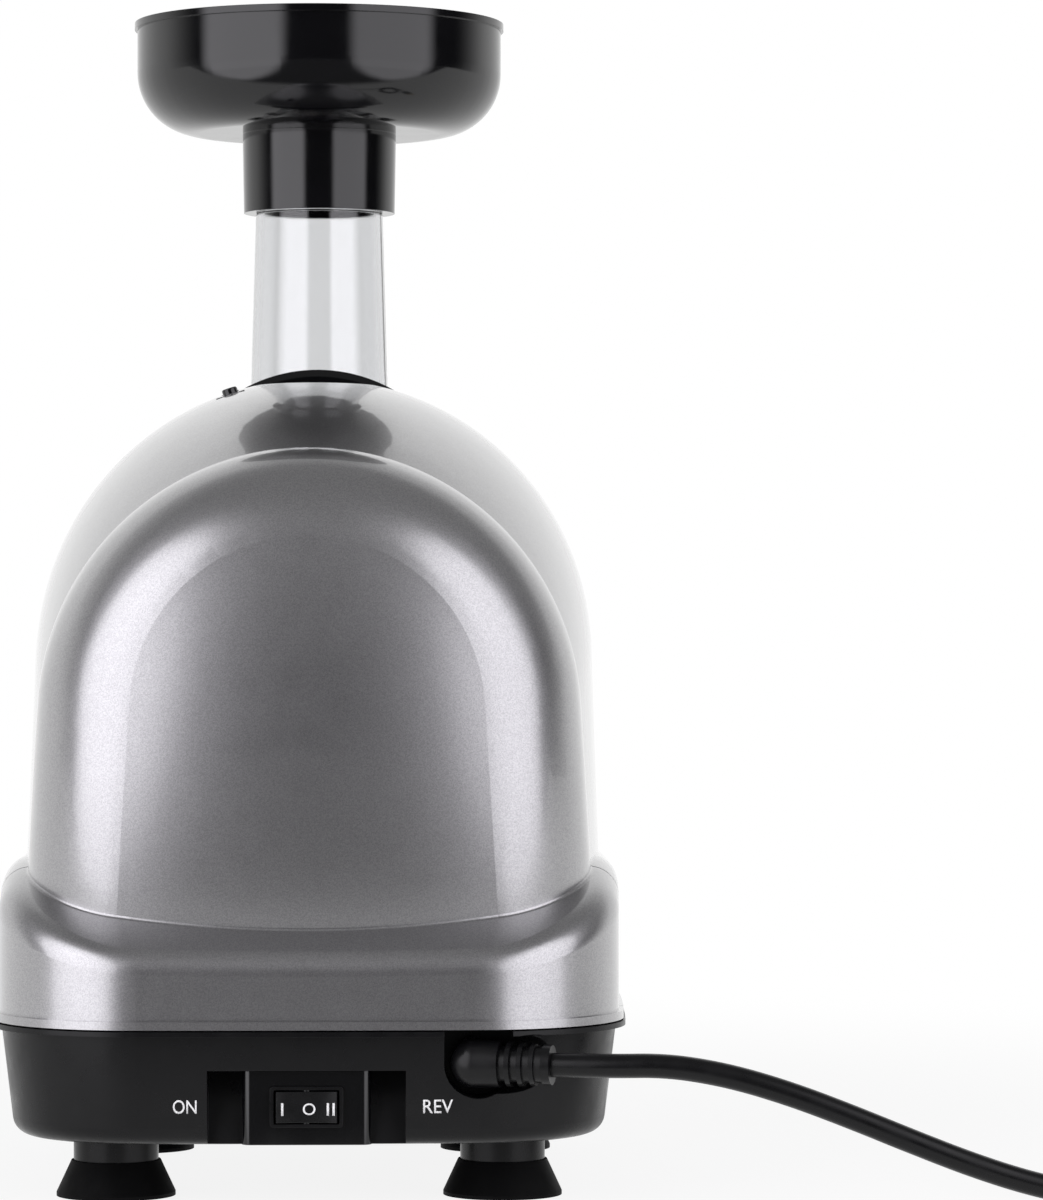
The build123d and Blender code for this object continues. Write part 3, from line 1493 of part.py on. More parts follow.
with BuildPart() as commutator:
    with BuildSketch(across(rear_y + commutator_depth, 0, motor_z)):
        Circle(commutator_radius)
        with PolarLocations(commutator_radius, rotor_slots):
            Rectangle(commutator_slot, commutator_slot, mode=Mode.SUBTRACT)
        Circle(motor_shaft_radius + press_gap, mode=Mode.SUBTRACT)
    extrude(amount=commutator_length)
save(commutator.part, "commutator")

brush_middle = commutator_depth + commutator_length / 2
with BuildPart() as carbon_brushes:
    with BuildSketch(across(rear_y + brush_middle - brush_section / 2, 0, motor_z)):
        for side in (-1, 1):
            with Locations((side * (commutator_radius + brush_length / 2), 0)):
                Rectangle(brush_length, brush_section)
        Circle(commutator_radius + 2 * running_fit, mode=Mode.SUBTRACT)
    extrude(amount=brush_section)
save(carbon_brushes.part, "carbon_brushes")

with BuildPart() as brush_holders:
    tube = brush_section + 2 * press_gap
    tube_outer = tube + 2 * holder_wall
    holder_x = commutator_radius + brush_length / 2 + 1
    holder_front = brush_middle + tube_outer / 2
    with BuildSketch(across(rear_y + can_rear, 0, motor_z)):
        with Locations((-holder_x, 0), (holder_x, 0)):
            Rectangle(brush_length, tube_outer)
    extrude(amount=holder_front - can_rear)
    with BuildSketch(across(rear_y + brush_middle - tube / 2, 0, motor_z)):
        with Locations((-holder_x, 0), (holder_x, 0)):
            Rectangle(2 * brush_length, tube)
        Circle(commutator_radius, mode=Mode.SUBTRACT)
    extrude(amount=tube, mode=Mode.SUBTRACT)
save(brush_holders.part, "brush_holders")

with BuildPart() as motor_bearings:
    for start in (tail_bearing_depth, nose_bearing_depth):
        bore = motor_shaft_radius + running_fit
        add(ring(start, motor_bearing_length, motor_bearing_radius, bore, motor_z))
save(motor_bearings.part, "motor_bearings")

with BuildPart() as cooling_fan:
    with BuildSketch(across(rear_y + fan_depth, 0, motor_z)):
        Circle(fan_hub_radius)
        with PolarLocations(0, fan_blades):
            with Locations((fan_radius / 2, 0)):
                Rectangle(fan_radius - fan_blade, fan_blade)
    extrude(amount=fan_length)
    with BuildSketch(across(rear_y + fan_depth + fan_length, 0, motor_z)):
        Circle(fan_radius)
    extrude(amount=-fan_plate)
    with BuildSketch(across(rear_y + fan_depth, 0, motor_z)):
        Circle(motor_shaft_radius + press_gap)
    extrude(amount=fan_length, mode=Mode.SUBTRACT)
save(cooling_fan.part, "cooling_fan")

with BuildPart() as motor_cradle:
    saddle_starts = (cradle_depth + cradle_plate, cradle_depth + cradle_length - 2 * cradle_plate)
    with BuildSketch(Plane.XY.offset(pedestal_z)):
        with Locations((0, rear_y + cradle_depth + cradle_length / 2)):
            RectangleRounded(2 * cradle_flange_half, cradle_length, cradle_plate)
    extrude(amount=cradle_flange)
    for start in saddle_starts:
        with BuildSketch(across(rear_y + start)):
            with Locations((0, pedestal_z + cradle_height / 2)):
                Rectangle(2 * cradle_half, cradle_height)
        extrude(amount=cradle_plate)
    with BuildSketch(across(rear_y + cradle_depth, 0, motor_z)):
        Circle(motor_radius + press_gap)
    extrude(amount=cradle_length, mode=Mode.SUBTRACT)
    with BuildSketch(Plane.XY.offset(pedestal_z)):
        with Locations(*cradle_mounts):
            Circle(screw_radius + press_gap)
    extrude(amount=2 * cradle_flange, mode=Mode.SUBTRACT)
save(motor_cradle.part, "motor_cradle")

with BuildPart() as mount_screws:
    for points, flange in ((case_mounts, case_flange), (cradle_mounts, cradle_flange)):
        with BuildSketch(Plane.XY.offset(pedestal_z + flange + press_gap)):
            with Locations(*points):
                Circle(screw_head_radius)
        extrude(amount=mount_screw_head)
        with BuildSketch(Plane.XY.offset(pedestal_z + flange + mount_screw_head)):
            with Locations(*points):
                Circle(screw_radius)
        extrude(amount=base_bottom_z + screw_skin - pedestal_z - flange - mount_screw_head)
save(mount_screws.part, "mount_screws")


# Drum socket behind the front wall, with its screws, the drive dog and the shaft seal
socket_groove = spigot_radius + lug_reach + moving_gap
lug_turn = 90.0


def lug_ring(depth, length, outer, inner, width, turn):
    """Bayonet lugs between two radii about the drive axis, each so many degrees wide."""
    with BuildPart() as lugs:
        with BuildSketch(across(rear_y + depth, 0, drive_axis_z)):
            with PolarLocations((outer + inner) / 2, lug_count, turn):
                Rectangle(2 * (outer - inner), 2 * outer * sin(radians(width / 2)))
            Circle(outer, mode=Mode.INTERSECT)
            Circle(inner, mode=Mode.SUBTRACT)
        extrude(amount=length)
    return lugs.part


rim_depth = front_depth - socket_rim
rim_bore = spigot_radius + moving_gap
ear_depth = front_depth - front_wall - seat_gap - socket_ear

with BuildPart() as socket_ring:
    with BuildSketch(across(rear_y + ear_depth, 0, drive_axis_z)):
        for angle in socket_ear_angles:
            with Locations(Rotation(0, 0, angle)):
                with Locations((socket_ear_radius / 2, 0)):
                    Rectangle(socket_ear_radius, 2 * socket_ear_round)
                with Locations((socket_ear_radius, 0)):
                    Circle(socket_ear_round)
        Circle(socket_radius - bite, mode=Mode.SUBTRACT)
    extrude(amount=socket_ear)
    add(
        turned(
            [
                (socket_depth, socket_hub_bore),
                (socket_depth, socket_radius),
                (front_depth, socket_radius),
                (front_depth, rim_bore),
                (rim_depth, rim_bore),
                (rim_depth, socket_groove),
                (socket_depth + socket_back, socket_groove),
                (socket_depth + socket_back, socket_hub_bore),
            ],
            axis_at(drive_axis_z),
        )
    )
    notch_width = lug_angle + notch_play
    notch_turn = lug_turn + unlock_angle
    notches = lug_ring(rim_depth, socket_rim, socket_groove, rim_bore - bite, notch_width, notch_turn)
    add(notches, mode=Mode.SUBTRACT)
    with BuildSketch(across(rear_y + ear_depth, 0, drive_axis_z)):
        with Locations(*ear_points(socket_ear_radius)):
            Circle(screw_radius + press_gap)
    extrude(amount=socket_ear, mode=Mode.SUBTRACT)
save(socket_ring.part, "socket_ring")

with BuildPart() as socket_screws:
    with BuildSketch(across(rear_y + ear_depth - press_gap, 0, drive_axis_z)):
        with Locations(*ear_points(socket_ear_radius)):
            Circle(screw_head_radius)
    extrude(amount=-screw_head_height)
    with BuildSketch(across(rear_y + ear_depth - screw_head_height, 0, drive_axis_z)):
        with Locations(*ear_points(socket_ear_radius)):
            Circle(screw_radius)
    extrude(amount=screw_head_height + socket_ear + front_wall / 2)
save(socket_screws.part, "socket_screws")

with BuildPart() as shaft_seal:
    seal_bore = dog_radius + 2 * running_fit
    add(ring(socket_depth, seal_width, socket_hub_bore - press_gap, seal_bore, drive_axis_z))
save(shaft_seal.part, "shaft_seal")

dog_depth = boss_front + hub_play
with BuildPart() as drive_socket:
    with BuildSketch(across(rear_y + dog_depth, 0, drive_axis_z)):
        Circle(dog_radius)
        RegularPolygon(hex_across_flats / 2, 6, major_radius=False, mode=Mode.SUBTRACT)
    extrude(amount=dog_length)
    with BuildSketch(across(rear_y + dog_depth, 0, drive_axis_z)):
        Circle(output_front_radius + press_gap)
    extrude(amount=shaft_end_depth + press_gap - dog_depth, mode=Mode.SUBTRACT)
save(drive_socket.part, "drive_socket")

# Drum: barrel with chute and spout in one clear moulding, and its locking collar
chute_axis = Axis((0, chute_y, 0), (0, 0, 1))
chute_section = Plane(origin=(0, chute_y, 0), x_dir=(1, 0, 0), z_dir=(0, -1, 0))


def chute_form(inset):
    """The chute's outside, or its bore when drawn in by the wall, from the drum's axis up."""
    with BuildPart() as form:
        with BuildSketch(chute_section):
            with BuildLine():
                Polyline(
                    (0, drive_axis_z),
                    (chute_root_radius - inset, drive_axis_z),
                    (chute_root_radius - inset, chute_root_z),
                    (chute_shoulder_radius - inset, chute_shoulder_z),
                    (chute_neck_radius - inset, chute_shoulder_z),
                    (chute_neck_radius - inset, chute_top_z),
                    (0, chute_top_z),
                    close=True,
                )
            make_face()
        revolve(axis=chute_axis)
    return form.part


with BuildPart() as drum_barrel:
    add(
        turned(
            [
                (spigot_depth, 0),
                (spigot_depth, spigot_radius),
                (drum_rear_depth, spigot_radius),
                (drum_rear_depth, drum_rear_radius),
                (drum_step_depth, drum_rear_radius),
                (drum_step_depth + drum_step, drum_front_radius),
                (drum_front_depth, drum_front_radius),
                (drum_front_depth, 0),
            ],
            axis_at(drive_axis_z),
        )
    )
    add(chute_form(0))
    with BuildSketch(Plane.XY.offset(spout_z)):
        with Locations((0, rear_y + spout_depth)):
            Circle(spout_radius)
    extrude(amount=drive_axis_z - spout_z)
    add(lug_ring(lug_depth, lug_length, spigot_radius + lug_reach, spigot_radius - bite, lug_angle, lug_turn))
    lug_root = drum_front_radius - bite
    add(lug_ring(cap_lug_depth, cap_lug_length, cap_lug_radius, lug_root, lug_angle, lug_turn))
    add(chute_form(chute_wall), mode=Mode.SUBTRACT)
    with BuildSketch(Plane.XY.offset(spout_z)):
        with Locations((0, rear_y + spout_depth)):
            Circle(spout_radius - spout_wall)
    extrude(amount=drive_axis_z - spout_z, mode=Mode.SUBTRACT)
    add(
        turned(
            [
                (spigot_depth, 0),
                (spigot_depth, spigot_radius - spigot_wall),
                (drum_rear_depth, spigot_radius - spigot_wall),
                (drum_rear_depth, journal_radius + running_fit),
                (drum_rear_depth + drum_back, journal_radius + running_fit),
                (drum_rear_depth + drum_back, drum_rear_bore),
                (drum_step_depth + drum_step, drum_rear_bore),
                (drum_step_depth + drum_step, drum_front_bore),
                (drum_front_depth, drum_front_bore),
                (drum_front_depth, 0),
            ],
            axis_at(drive_axis_z),
        ),
        mode=Mode.SUBTRACT,
    )
save(drum_barrel.part, "drum_barrel")

with BuildPart() as drum_collar:
    bore = drum_rear_radius + press_gap
    add(
        turned(
            [
                (collar_depth, bore),
                (collar_depth, collar_radius - collar_chamfer),
                (collar_depth + collar_chamfer / 2, collar_radius),
                (collar_depth + collar_length, collar_radius),
                (collar_depth + collar_length, bore),
            ],
            axis_at(drive_axis_z),
        )
    )
save(drum_collar.part, "drum_collar")

# Auger, its steel shank and its seal
flight_start = auger_disc_depth + auger_disc
flight_length = auger_end_depth - flight_start
shank_depth = shaft_end_depth + hub_play
shank_length = drum_rear_depth - hub_play - shank_depth

with BuildPart() as auger:
    add(
        turned(
            [
                (drum_rear_depth, 0),
                (drum_rear_depth, journal_radius),
                (auger_disc_depth, journal_radius),
                (auger_disc_depth, auger_disc_radius),
                (flight_start, auger_disc_radius),
                (flight_start, flight_core_rear),
                (auger_end_depth, flight_core_front),
                (auger_end_depth, tip_radius),
                (auger_end_depth + tip_length, tip_radius),
                (auger_end_depth + tip_length, 0),
            ],
            axis_at(drive_axis_z),
        )
    )
    root_half = radians(flight_root_angle / 2)
    tip_half = radians(flight_tip_angle / 2)
    with BuildSketch(across(rear_y + flight_start - bite, 0, drive_axis_z)) as flight:
        with BuildLine():
            root_x = flight_core_front * cos(root_half) / 2
            root_y = flight_core_front * sin(root_half)
            edge_x = flight_radius * cos(tip_half)
            edge_y = flight_radius * sin(tip_half)
            Polyline((edge_x, -edge_y), (root_x, -root_y), (root_x, root_y), (edge_x, edge_y))
            ThreePointArc((edge_x, edge_y), (flight_radius, 0), (edge_x, -edge_y))
        make_face()
    add(
        Solid.extrude_linear_with_rotation(
            flight.sketch.face(),
            (0, rear_y + flight_start - bite, drive_axis_z),
            (0, flight_length + bite, 0),
            360 * flight_turns,
        )
    )
    groove_depth = auger_seal_depth + press_gap
    add(
        ring(auger_disc_depth, groove_depth, auger_seal_outer, auger_seal_inner, drive_axis_z),
        mode=Mode.SUBTRACT,
    )
    with BuildSketch(across(rear_y + drum_rear_depth, 0, drive_axis_z)):
        RegularPolygon(hex_across_flats / 2 - hex_gap + press_gap, 6, major_radius=False)
    extrude(amount=shank_length, mode=Mode.SUBTRACT)
save(auger.part, "auger")

with BuildPart() as auger_shank:
    with BuildSketch(across(rear_y + shank_depth, 0, drive_axis_z)):
        RegularPolygon(hex_across_flats / 2 - hex_gap, 6, major_radius=False)
    extrude(amount=drum_rear_depth + shank_length - press_gap - shank_depth)
save(auger_shank.part, "auger_shank")

with BuildPart() as auger_seal:
    start = auger_disc_depth - auger_seal_proud
    outer = auger_seal_outer - press_gap
    add(ring(start, auger_seal_depth + auger_seal_proud, outer, auger_seal_inner + press_gap, drive_axis_z))
save(auger_seal.part, "auger_seal")

# Strainer: slotted screen in a windowed frame, inside the front of the drum
strainer_depth = drum_step_depth + drum_step + seat_gap
strainer_length = drum_front_depth - strainer_depth
screen_bore = flight_radius + screen_gap
screen_outer = screen_bore + screen_thickness
frame_bore = screen_outer + press_gap
window_start = strainer_depth + strainer_ring
window_length = strainer_length - 2 * strainer_ring

with BuildPart() as strainer_screen:
    add(ring(strainer_depth, strainer_length, screen_outer, screen_bore, drive_axis_z))
    with BuildSketch(across(rear_y + window_start, 0, drive_axis_z)):
        with PolarLocations(screen_bore, screen_slots):
            Rectangle(4 * screen_thickness, screen_slot)
    extrude(amount=window_length, mode=Mode.SUBTRACT)
save(strainer_screen.part, "strainer_screen")

with BuildPart() as strainer_frame:
    frame_outer = frame_bore + strainer_wall
    add(ring(strainer_depth, strainer_length, frame_outer, frame_bore, drive_axis_z))
    with BuildSketch(across(rear_y + window_start, 0, drive_axis_z)):
        with PolarLocations(frame_outer, strainer_windows):
            Rectangle(2 * strainer_wall + 2, 2 * frame_outer * sin(radians(strainer_window_angle / 2)))
    extrude(amount=window_length, mode=Mode.SUBTRACT)
    flange_start = drum_front_depth - strainer_flange
    add(ring(flange_start, strainer_flange, drum_front_bore - seat_gap, frame_bore, drive_axis_z))
    add(ring(strainer_depth, strainer_flange, drum_front_bore - seat_gap, frame_bore, drive_axis_z))
save(strainer_frame.part, "strainer_frame")

# End cap with the pulp nozzle, its seal and the bush of the auger's tip
cap_bore = cap_lug_radius + cap_gap
cap_radius = cap_bore + cap_wall
cap_face = drum_front_depth + cap_seal_length + 2 * cap_gap
tip_boss_radius = tip_radius + running_fit + bush_wall + press_gap + bush_boss
bush_length = auger_end_depth + tip_length + hub_play - bush_start_depth
cap_inner_front = cap_front_depth - cap_wall

with BuildPart() as end_cap:
    add(
        turned(
            [
                (cap_skirt_depth, 0),
                (cap_skirt_depth, cap_radius),
                (cap_shoulder_depth, cap_radius),
                (cap_front_depth, cap_nose_radius),
                (cap_front_depth, 0),
            ],
            axis_at(drive_axis_z),
        )
    )
    with BuildSketch(across(rear_y + cap_shoulder_depth, 0, drive_axis_z)):
        with Locations((0, -nozzle_drop)):
            Circle(nozzle_radius)
    extrude(amount=overall_length - cap_shoulder_depth)
    with BuildSketch(across(rear_y + cap_skirt_depth + cap_wall, 0, drive_axis_z)):
        with PolarLocations(cap_radius, cap_ribs):
            Circle(cap_rib_radius)
    extrude(amount=cap_shoulder_depth - cap_skirt_depth - 2 * cap_wall)
    add(
        turned(
            [
                (cap_skirt_depth, 0),
                (cap_skirt_depth, cap_bore),
                (cap_face, cap_bore),
                (cap_face, drum_front_bore),
                (cap_shoulder_depth, drum_front_bore),
                (cap_inner_front, cap_nose_radius - cap_wall),
                (cap_inner_front, 0),
            ],
            axis_at(drive_axis_z),
        ),
        mode=Mode.SUBTRACT,
    )
    with BuildSketch(across(rear_y + cap_shoulder_depth, 0, drive_axis_z)):
        with Locations((0, -nozzle_drop)):
            Circle(nozzle_radius - nozzle_wall)
    extrude(amount=overall_length - cap_shoulder_depth, mode=Mode.SUBTRACT)
    with BuildSketch(across(rear_y + bush_start_depth, 0, drive_axis_z)):
        Circle(tip_boss_radius)
    extrude(amount=cap_front_depth - bush_start_depth)
    with BuildSketch(across(rear_y + bush_start_depth, 0, drive_axis_z)):
        Circle(tip_boss_radius - bush_boss)
    extrude(amount=bush_length + press_gap, mode=Mode.SUBTRACT)
    inner_lug_depth = cap_lug_depth - cap_gap - cap_lug_length
    lug_tip = drum_front_radius + cap_gap
    add(lug_ring(inner_lug_depth, cap_lug_length, cap_bore + bite, lug_tip, lug_angle, lug_turn))
save(end_cap.part, "end_cap")

with BuildPart() as cap_seal:
    start = drum_front_depth + cap_gap
    seal_bore = drum_front_bore + press_gap
    add(ring(start, cap_face - press_gap - start, drum_front_radius, seal_bore, drive_axis_z))
save(cap_seal.part, "cap_seal")

with BuildPart() as tip_bush:
    outer = tip_boss_radius - bush_boss - press_gap
    add(ring(bush_start_depth, bush_length, outer, tip_radius + running_fit, drive_axis_z))
save(tip_bush.part, "tip_bush")

# Hopper bowl on the chute's neck
with BuildPart() as hopper:
    with BuildSketch(chute_section):
        with BuildLine():
            sleeve_bore = chute_neck_radius + moving_gap
            sleeve_z = chute_shoulder_z + moving_gap
            knee = (hopper_radius - hopper_round, hopper_floor_z)
            wall_foot = (hopper_radius, hopper_floor_z + hopper_round)
            lean = hopper_round * (1 - cos(pi / 4))
            inner_round = hopper_round - hopper_wall
            inner_lean = inner_round * (1 - cos(pi / 4))
            inner_radius = hopper_radius - hopper_wall
            inner_floor_z = hopper_floor_z + hopper_wall
            inner_knee = (knee[0], inner_floor_z)
            inner_foot = (inner_radius, wall_foot[1])
            bead_z = hopper_top_z - hopper_bead_height
            throat = chute_neck_radius - chute_wall
            sleeve_top = (sleeve_radius + sleeve_flare, knee[1])
            Polyline((sleeve_bore, sleeve_z), (sleeve_radius, sleeve_z), sleeve_top, knee)
            ThreePointArc(knee, (hopper_radius - lean, hopper_floor_z + lean), wall_foot)
            Polyline(
                wall_foot,
                (hopper_radius, bead_z),
                (hopper_radius + hopper_bead, bead_z),
                (hopper_radius + hopper_bead, hopper_top_z),
                (inner_radius, hopper_top_z),
                inner_foot,
            )
            ThreePointArc(inner_foot, (inner_radius - inner_lean, inner_floor_z + inner_lean), inner_knee)
            Polyline(
                inner_knee,
                (throat, inner_floor_z),
                (throat, chute_top_z + moving_gap),
                (sleeve_bore, chute_top_z + moving_gap),
                (sleeve_bore, sleeve_z),
            )
        make_face()
    revolve(axis=chute_axis)
save(hopper.part, "hopper")

# Release button and its return spring
flange_top = -shell_wall - button_sag
with BuildPart() as release_button:
    with BuildSketch(button_plane.offset(button_proud)):
        SlotOverall(button_length, button_width)
    extrude(amount=flange_top - button_flange - button_proud)
    fillet(release_button.edges().group_by(Axis(button_seat, button_out))[-1], button_proud / 2)
    with BuildSketch(button_plane.offset(flange_top)):
        SlotOverall(button_length + 2 * button_lip, button_width + 2 * button_lip)
    extrude(amount=-button_flange)
    with BuildSketch(button_plane.offset(flange_top - button_flange)):
        Circle(button_stem_radius)
    extrude(amount=-button_stem_length)
save(release_button.part, "release_button")

spring_bottom = bracket_plate - bracket_depth + spring_wire / 2 + spring_seat
spring_top = flange_top - button_flange - spring_wire / 2 - moving_gap
with BuildPart() as button_spring:
    with BuildLine() as wire:
        Helix((spring_top - spring_bottom) / spring_turns, spring_top - spring_bottom, spring_radius)
    with BuildSketch(Plane(origin=wire.line @ 0, z_dir=wire.line % 0)):
        RegularPolygon(spring_wire / 2, 6)
    sweep(path=wire.line, is_frenet=True)
save(button_plane.offset(spring_bottom).location * button_spring.part, "button_spring")
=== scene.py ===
"""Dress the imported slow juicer: lead, switch legends, finishes, studio and the camera behind it.

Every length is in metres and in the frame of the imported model: X to the right of the camera,
Y from the rear cover towards the drum, Z up from the worktop.
"""

import logging
from dataclasses import dataclass, field
from enum import Enum
from math import cos, exp, pi, radians, sin

import bmesh
import bpy
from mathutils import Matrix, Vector


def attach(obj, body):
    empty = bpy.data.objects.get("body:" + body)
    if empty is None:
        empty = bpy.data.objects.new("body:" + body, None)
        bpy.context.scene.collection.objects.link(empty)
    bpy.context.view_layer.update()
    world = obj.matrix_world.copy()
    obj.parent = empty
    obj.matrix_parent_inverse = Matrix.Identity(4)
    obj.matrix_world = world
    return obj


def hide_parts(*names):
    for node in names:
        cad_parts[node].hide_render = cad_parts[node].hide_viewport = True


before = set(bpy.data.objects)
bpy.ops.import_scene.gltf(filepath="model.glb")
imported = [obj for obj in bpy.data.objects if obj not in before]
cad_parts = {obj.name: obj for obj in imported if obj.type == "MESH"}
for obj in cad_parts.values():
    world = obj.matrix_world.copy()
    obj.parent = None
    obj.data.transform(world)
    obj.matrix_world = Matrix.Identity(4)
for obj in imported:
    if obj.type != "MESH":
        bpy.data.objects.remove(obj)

Triple = tuple[float, float, float]

log = logging.getLogger("juicer")

REAR_Y = -0.168
NOISE_LOW = 0.3
NOISE_HIGH = 0.7
WAVE_FACTOR = 20.0
LAMP_MIDDLE = (0.5, 0.5, 0.0)
LAMP_RIM = 0.5


class Tooling(Enum):
    """How a bare metal surface was worked, as the stretch of its streaks along X, Y and Z."""

    CAST = (1.0, 1.0, 1.0)
    DRAWN = (1.0, 0.06, 1.0)
    ROLLED = (0.06, 1.0, 1.0)


class Bench:
    """A material's node tree while a finish wires it up."""

    def __init__(self, name: str) -> None:
        """Start an empty tree with a principled shader on its output.

        Args:
            name: the finish's name.
        """
        self.material = bpy.data.materials.new(name)
        self.material.use_nodes = True
        self.tree = self.material.node_tree
        self.tree.nodes.clear()
        self.output = self.add("ShaderNodeOutputMaterial")
        self.shader = self.add("ShaderNodeBsdfPrincipled")
        self.join(self.shader.outputs["BSDF"], self.output.inputs["Surface"])

    def add(self, kind: str, **settings: object) -> bpy.types.Node:
        """Put a node on the bench.

        Args:
            kind: Blender's name of the node type.
            settings: attributes to set on it.

        Returns:
            The new node.
        """
        node = self.tree.nodes.new(kind)
        for key, value in settings.items():
            setattr(node, key, value)
        return node

    def join(self, source: bpy.types.NodeSocket, target: bpy.types.NodeSocket) -> None:
        """Wire one socket to another."""
        self.tree.links.new(source, target)

    def set(self, **values: object) -> None:
        """Set plain values on the shader's own sockets, with _ for a space in a socket's name."""
        for key, value in values.items():
            self.shader.inputs[key.replace("_", " ")].default_value = value

    def place(self, stretch: Triple = (1.0, 1.0, 1.0)) -> bpy.types.NodeSocket:
        """Give the surface point in metres, stretched along each axis.

        Args:
            stretch: factor on X, Y and Z.

        Returns:
            The vector socket.
        """
        spot = self.add("ShaderNodeTexCoord")
        mapping = self.add("ShaderNodeMapping")
        mapping.inputs["Scale"].default_value = stretch
        self.join(spot.outputs["Object"], mapping.inputs["Vector"])
        return mapping.outputs["Vector"]

    def noise(
        self, size: float, detail: float = 3.0, stretch: Triple = (1.0, 1.0, 1.0)
    ) -> bpy.types.NodeSocket:
        """Cloudy noise.

        Args:
            size: width of one cloud.
            detail: octaves.
            stretch: factor on X, Y and Z.

        Returns:
            The noise's factor socket.
        """
        cloud = self.add("ShaderNodeTexNoise")
        cloud.inputs["Scale"].default_value = 1.0 / size
        cloud.inputs["Detail"].default_value = detail
        self.join(self.place(stretch), cloud.inputs["Vector"])
        return cloud.outputs["Fac"]

    def cells(self, size: float, output: str = "Color") -> bpy.types.NodeSocket:
        """Cells of a broken pattern, such as flakes.

        Args:
            size: width of one cell.
            output: the socket of the pattern that is wanted.

        Returns:
            That socket.
        """
        pattern = self.add("ShaderNodeTexVoronoi")
        pattern.inputs["Scale"].default_value = 1.0 / size
        self.join(self.place(), pattern.inputs["Vector"])
        return pattern.outputs[output]

    def bands(self, size: float, direction: str, wander: float = 0.6) -> bpy.types.NodeSocket:
        """Parallel bands, such as turns of wire.

        Args:
            size: width of one band.
            direction: X, Y or Z.
            wander: how far the bands stray from straight.

        Returns:
            The factor socket.
        """
        wave = self.add("ShaderNodeTexWave", bands_direction=direction)
        wave.inputs["Scale"].default_value = 2 * pi / (WAVE_FACTOR * size)
        wave.inputs["Distortion"].default_value = wander
        self.join(self.place(), wave.inputs["Vector"])
        return wave.outputs["Fac"]

    def between(self, share: bpy.types.NodeSocket, low: float, high: float) -> bpy.types.NodeSocket:
        """Spread a factor between two values.

        Args:
            share: the factor socket.
            low: value at the factor's low end.
            high: value at its high end.

        Returns:
            The value socket.
        """
        span = self.add("ShaderNodeMapRange")
        span.inputs["From Min"].default_value = NOISE_LOW
        span.inputs["From Max"].default_value = NOISE_HIGH
        span.inputs["To Min"].default_value = low
        span.inputs["To Max"].default_value = high
        self.join(share, span.inputs["Value"])
        return span.outputs["Result"]

    def tint(
        self, share: bpy.types.NodeSocket, colour: Triple, spread: float, low: float = NOISE_LOW
    ) -> None:
        """Vary the base colour about its mean.

        Args:
            share: factor that picks the shade.
            colour: mean colour, linear.
            spread: share by which the shade goes down and up.
            low: factor at which the dark end lies, the light end mirrors it.
        """
        ramp = self.add("ShaderNodeValToRGB")
        ends = ((low, 1 - spread), (1 - low, 1 + spread))
        for stop, (place, factor) in zip(ramp.color_ramp.elements, ends):
            stop.position = place
            stop.color = (*(min(c * factor, 1.0) for c in colour), 1.0)
        self.join(share, ramp.inputs["Fac"])
        self.join(ramp.outputs["Color"], self.shader.inputs["Base Color"])
        self.shader.inputs["Base Color"].default_value = (*colour, 1.0)

    def rough(self, share: bpy.types.NodeSocket, mean: float, spread: float) -> None:
        """Vary the roughness about its mean."""
        target = self.shader.inputs["Roughness"]
        target.default_value = mean
        self.join(self.between(share, mean - spread, mean + spread), target)

    def bump(
        self,
        height: bpy.types.NodeSocket,
        depth: float,
        strength: float = 1.0,
        socket: str = "Normal",
    ) -> None:
        """Raise the surface by a height pattern, on top of what the socket already has.

        Args:
            height: factor socket of the pattern.
            depth: height of the pattern.
            strength: share of the pattern that is felt.
            socket: Normal or Coat Normal.
        """
        raised = self.add("ShaderNodeBump")
        raised.inputs["Strength"].default_value = strength
        raised.inputs["Distance"].default_value = depth
        self.join(height, raised.inputs["Height"])
        target = self.shader.inputs[socket]
        if target.is_linked:
            self.join(target.links[0].from_socket, raised.inputs["Normal"])
        self.join(raised.outputs["Normal"], target)

    def soften(self, radius: float, samples: int = 4) -> None:
        """Catch light on sharp edges as a small moulded radius does."""
        edge = self.add("ShaderNodeBevel", samples=samples)
        edge.inputs["Radius"].default_value = radius
        self.join(edge.outputs["Normal"], self.shader.inputs["Normal"])


@dataclass(frozen=True)
class FlakePaint:
    """Metallic paint: bright flakes in a grey ground under clear lacquer."""

    name: str
    colour: Triple
    roughness: float = 0.3
    roughness_spread: float = 0.01
    metal: float = 0.9
    flake: float = 0.00026
    flake_depth: float = 0.000008
    sparkle: float = 0.16
    lacquer: float = 1.0
    lacquer_roughness: float = 0.025
    lacquer_refraction: float = 1.5
    peel: float = 0.0035
    peel_depth: float = 0.000001

    def material(self) -> bpy.types.Material:
        """Wire the paint.

        Returns:
            The material.
        """
        bench = Bench(self.name)
        bench.set(
            Metallic=self.metal,
            Coat_Weight=self.lacquer,
            Coat_Roughness=self.lacquer_roughness,
            Coat_IOR=self.lacquer_refraction,
        )
        bench.tint(bench.cells(self.flake), self.colour, self.sparkle, low=0.1)
        bench.rough(bench.noise(size=0.006), self.roughness, self.roughness_spread)
        bench.bump(bench.cells(self.flake, "Distance"), self.flake_depth, strength=0.2)
        peel = bench.noise(self.peel, detail=1.0)
        bench.bump(peel, self.peel_depth, strength=0.1, socket="Coat Normal")
        return bench.material


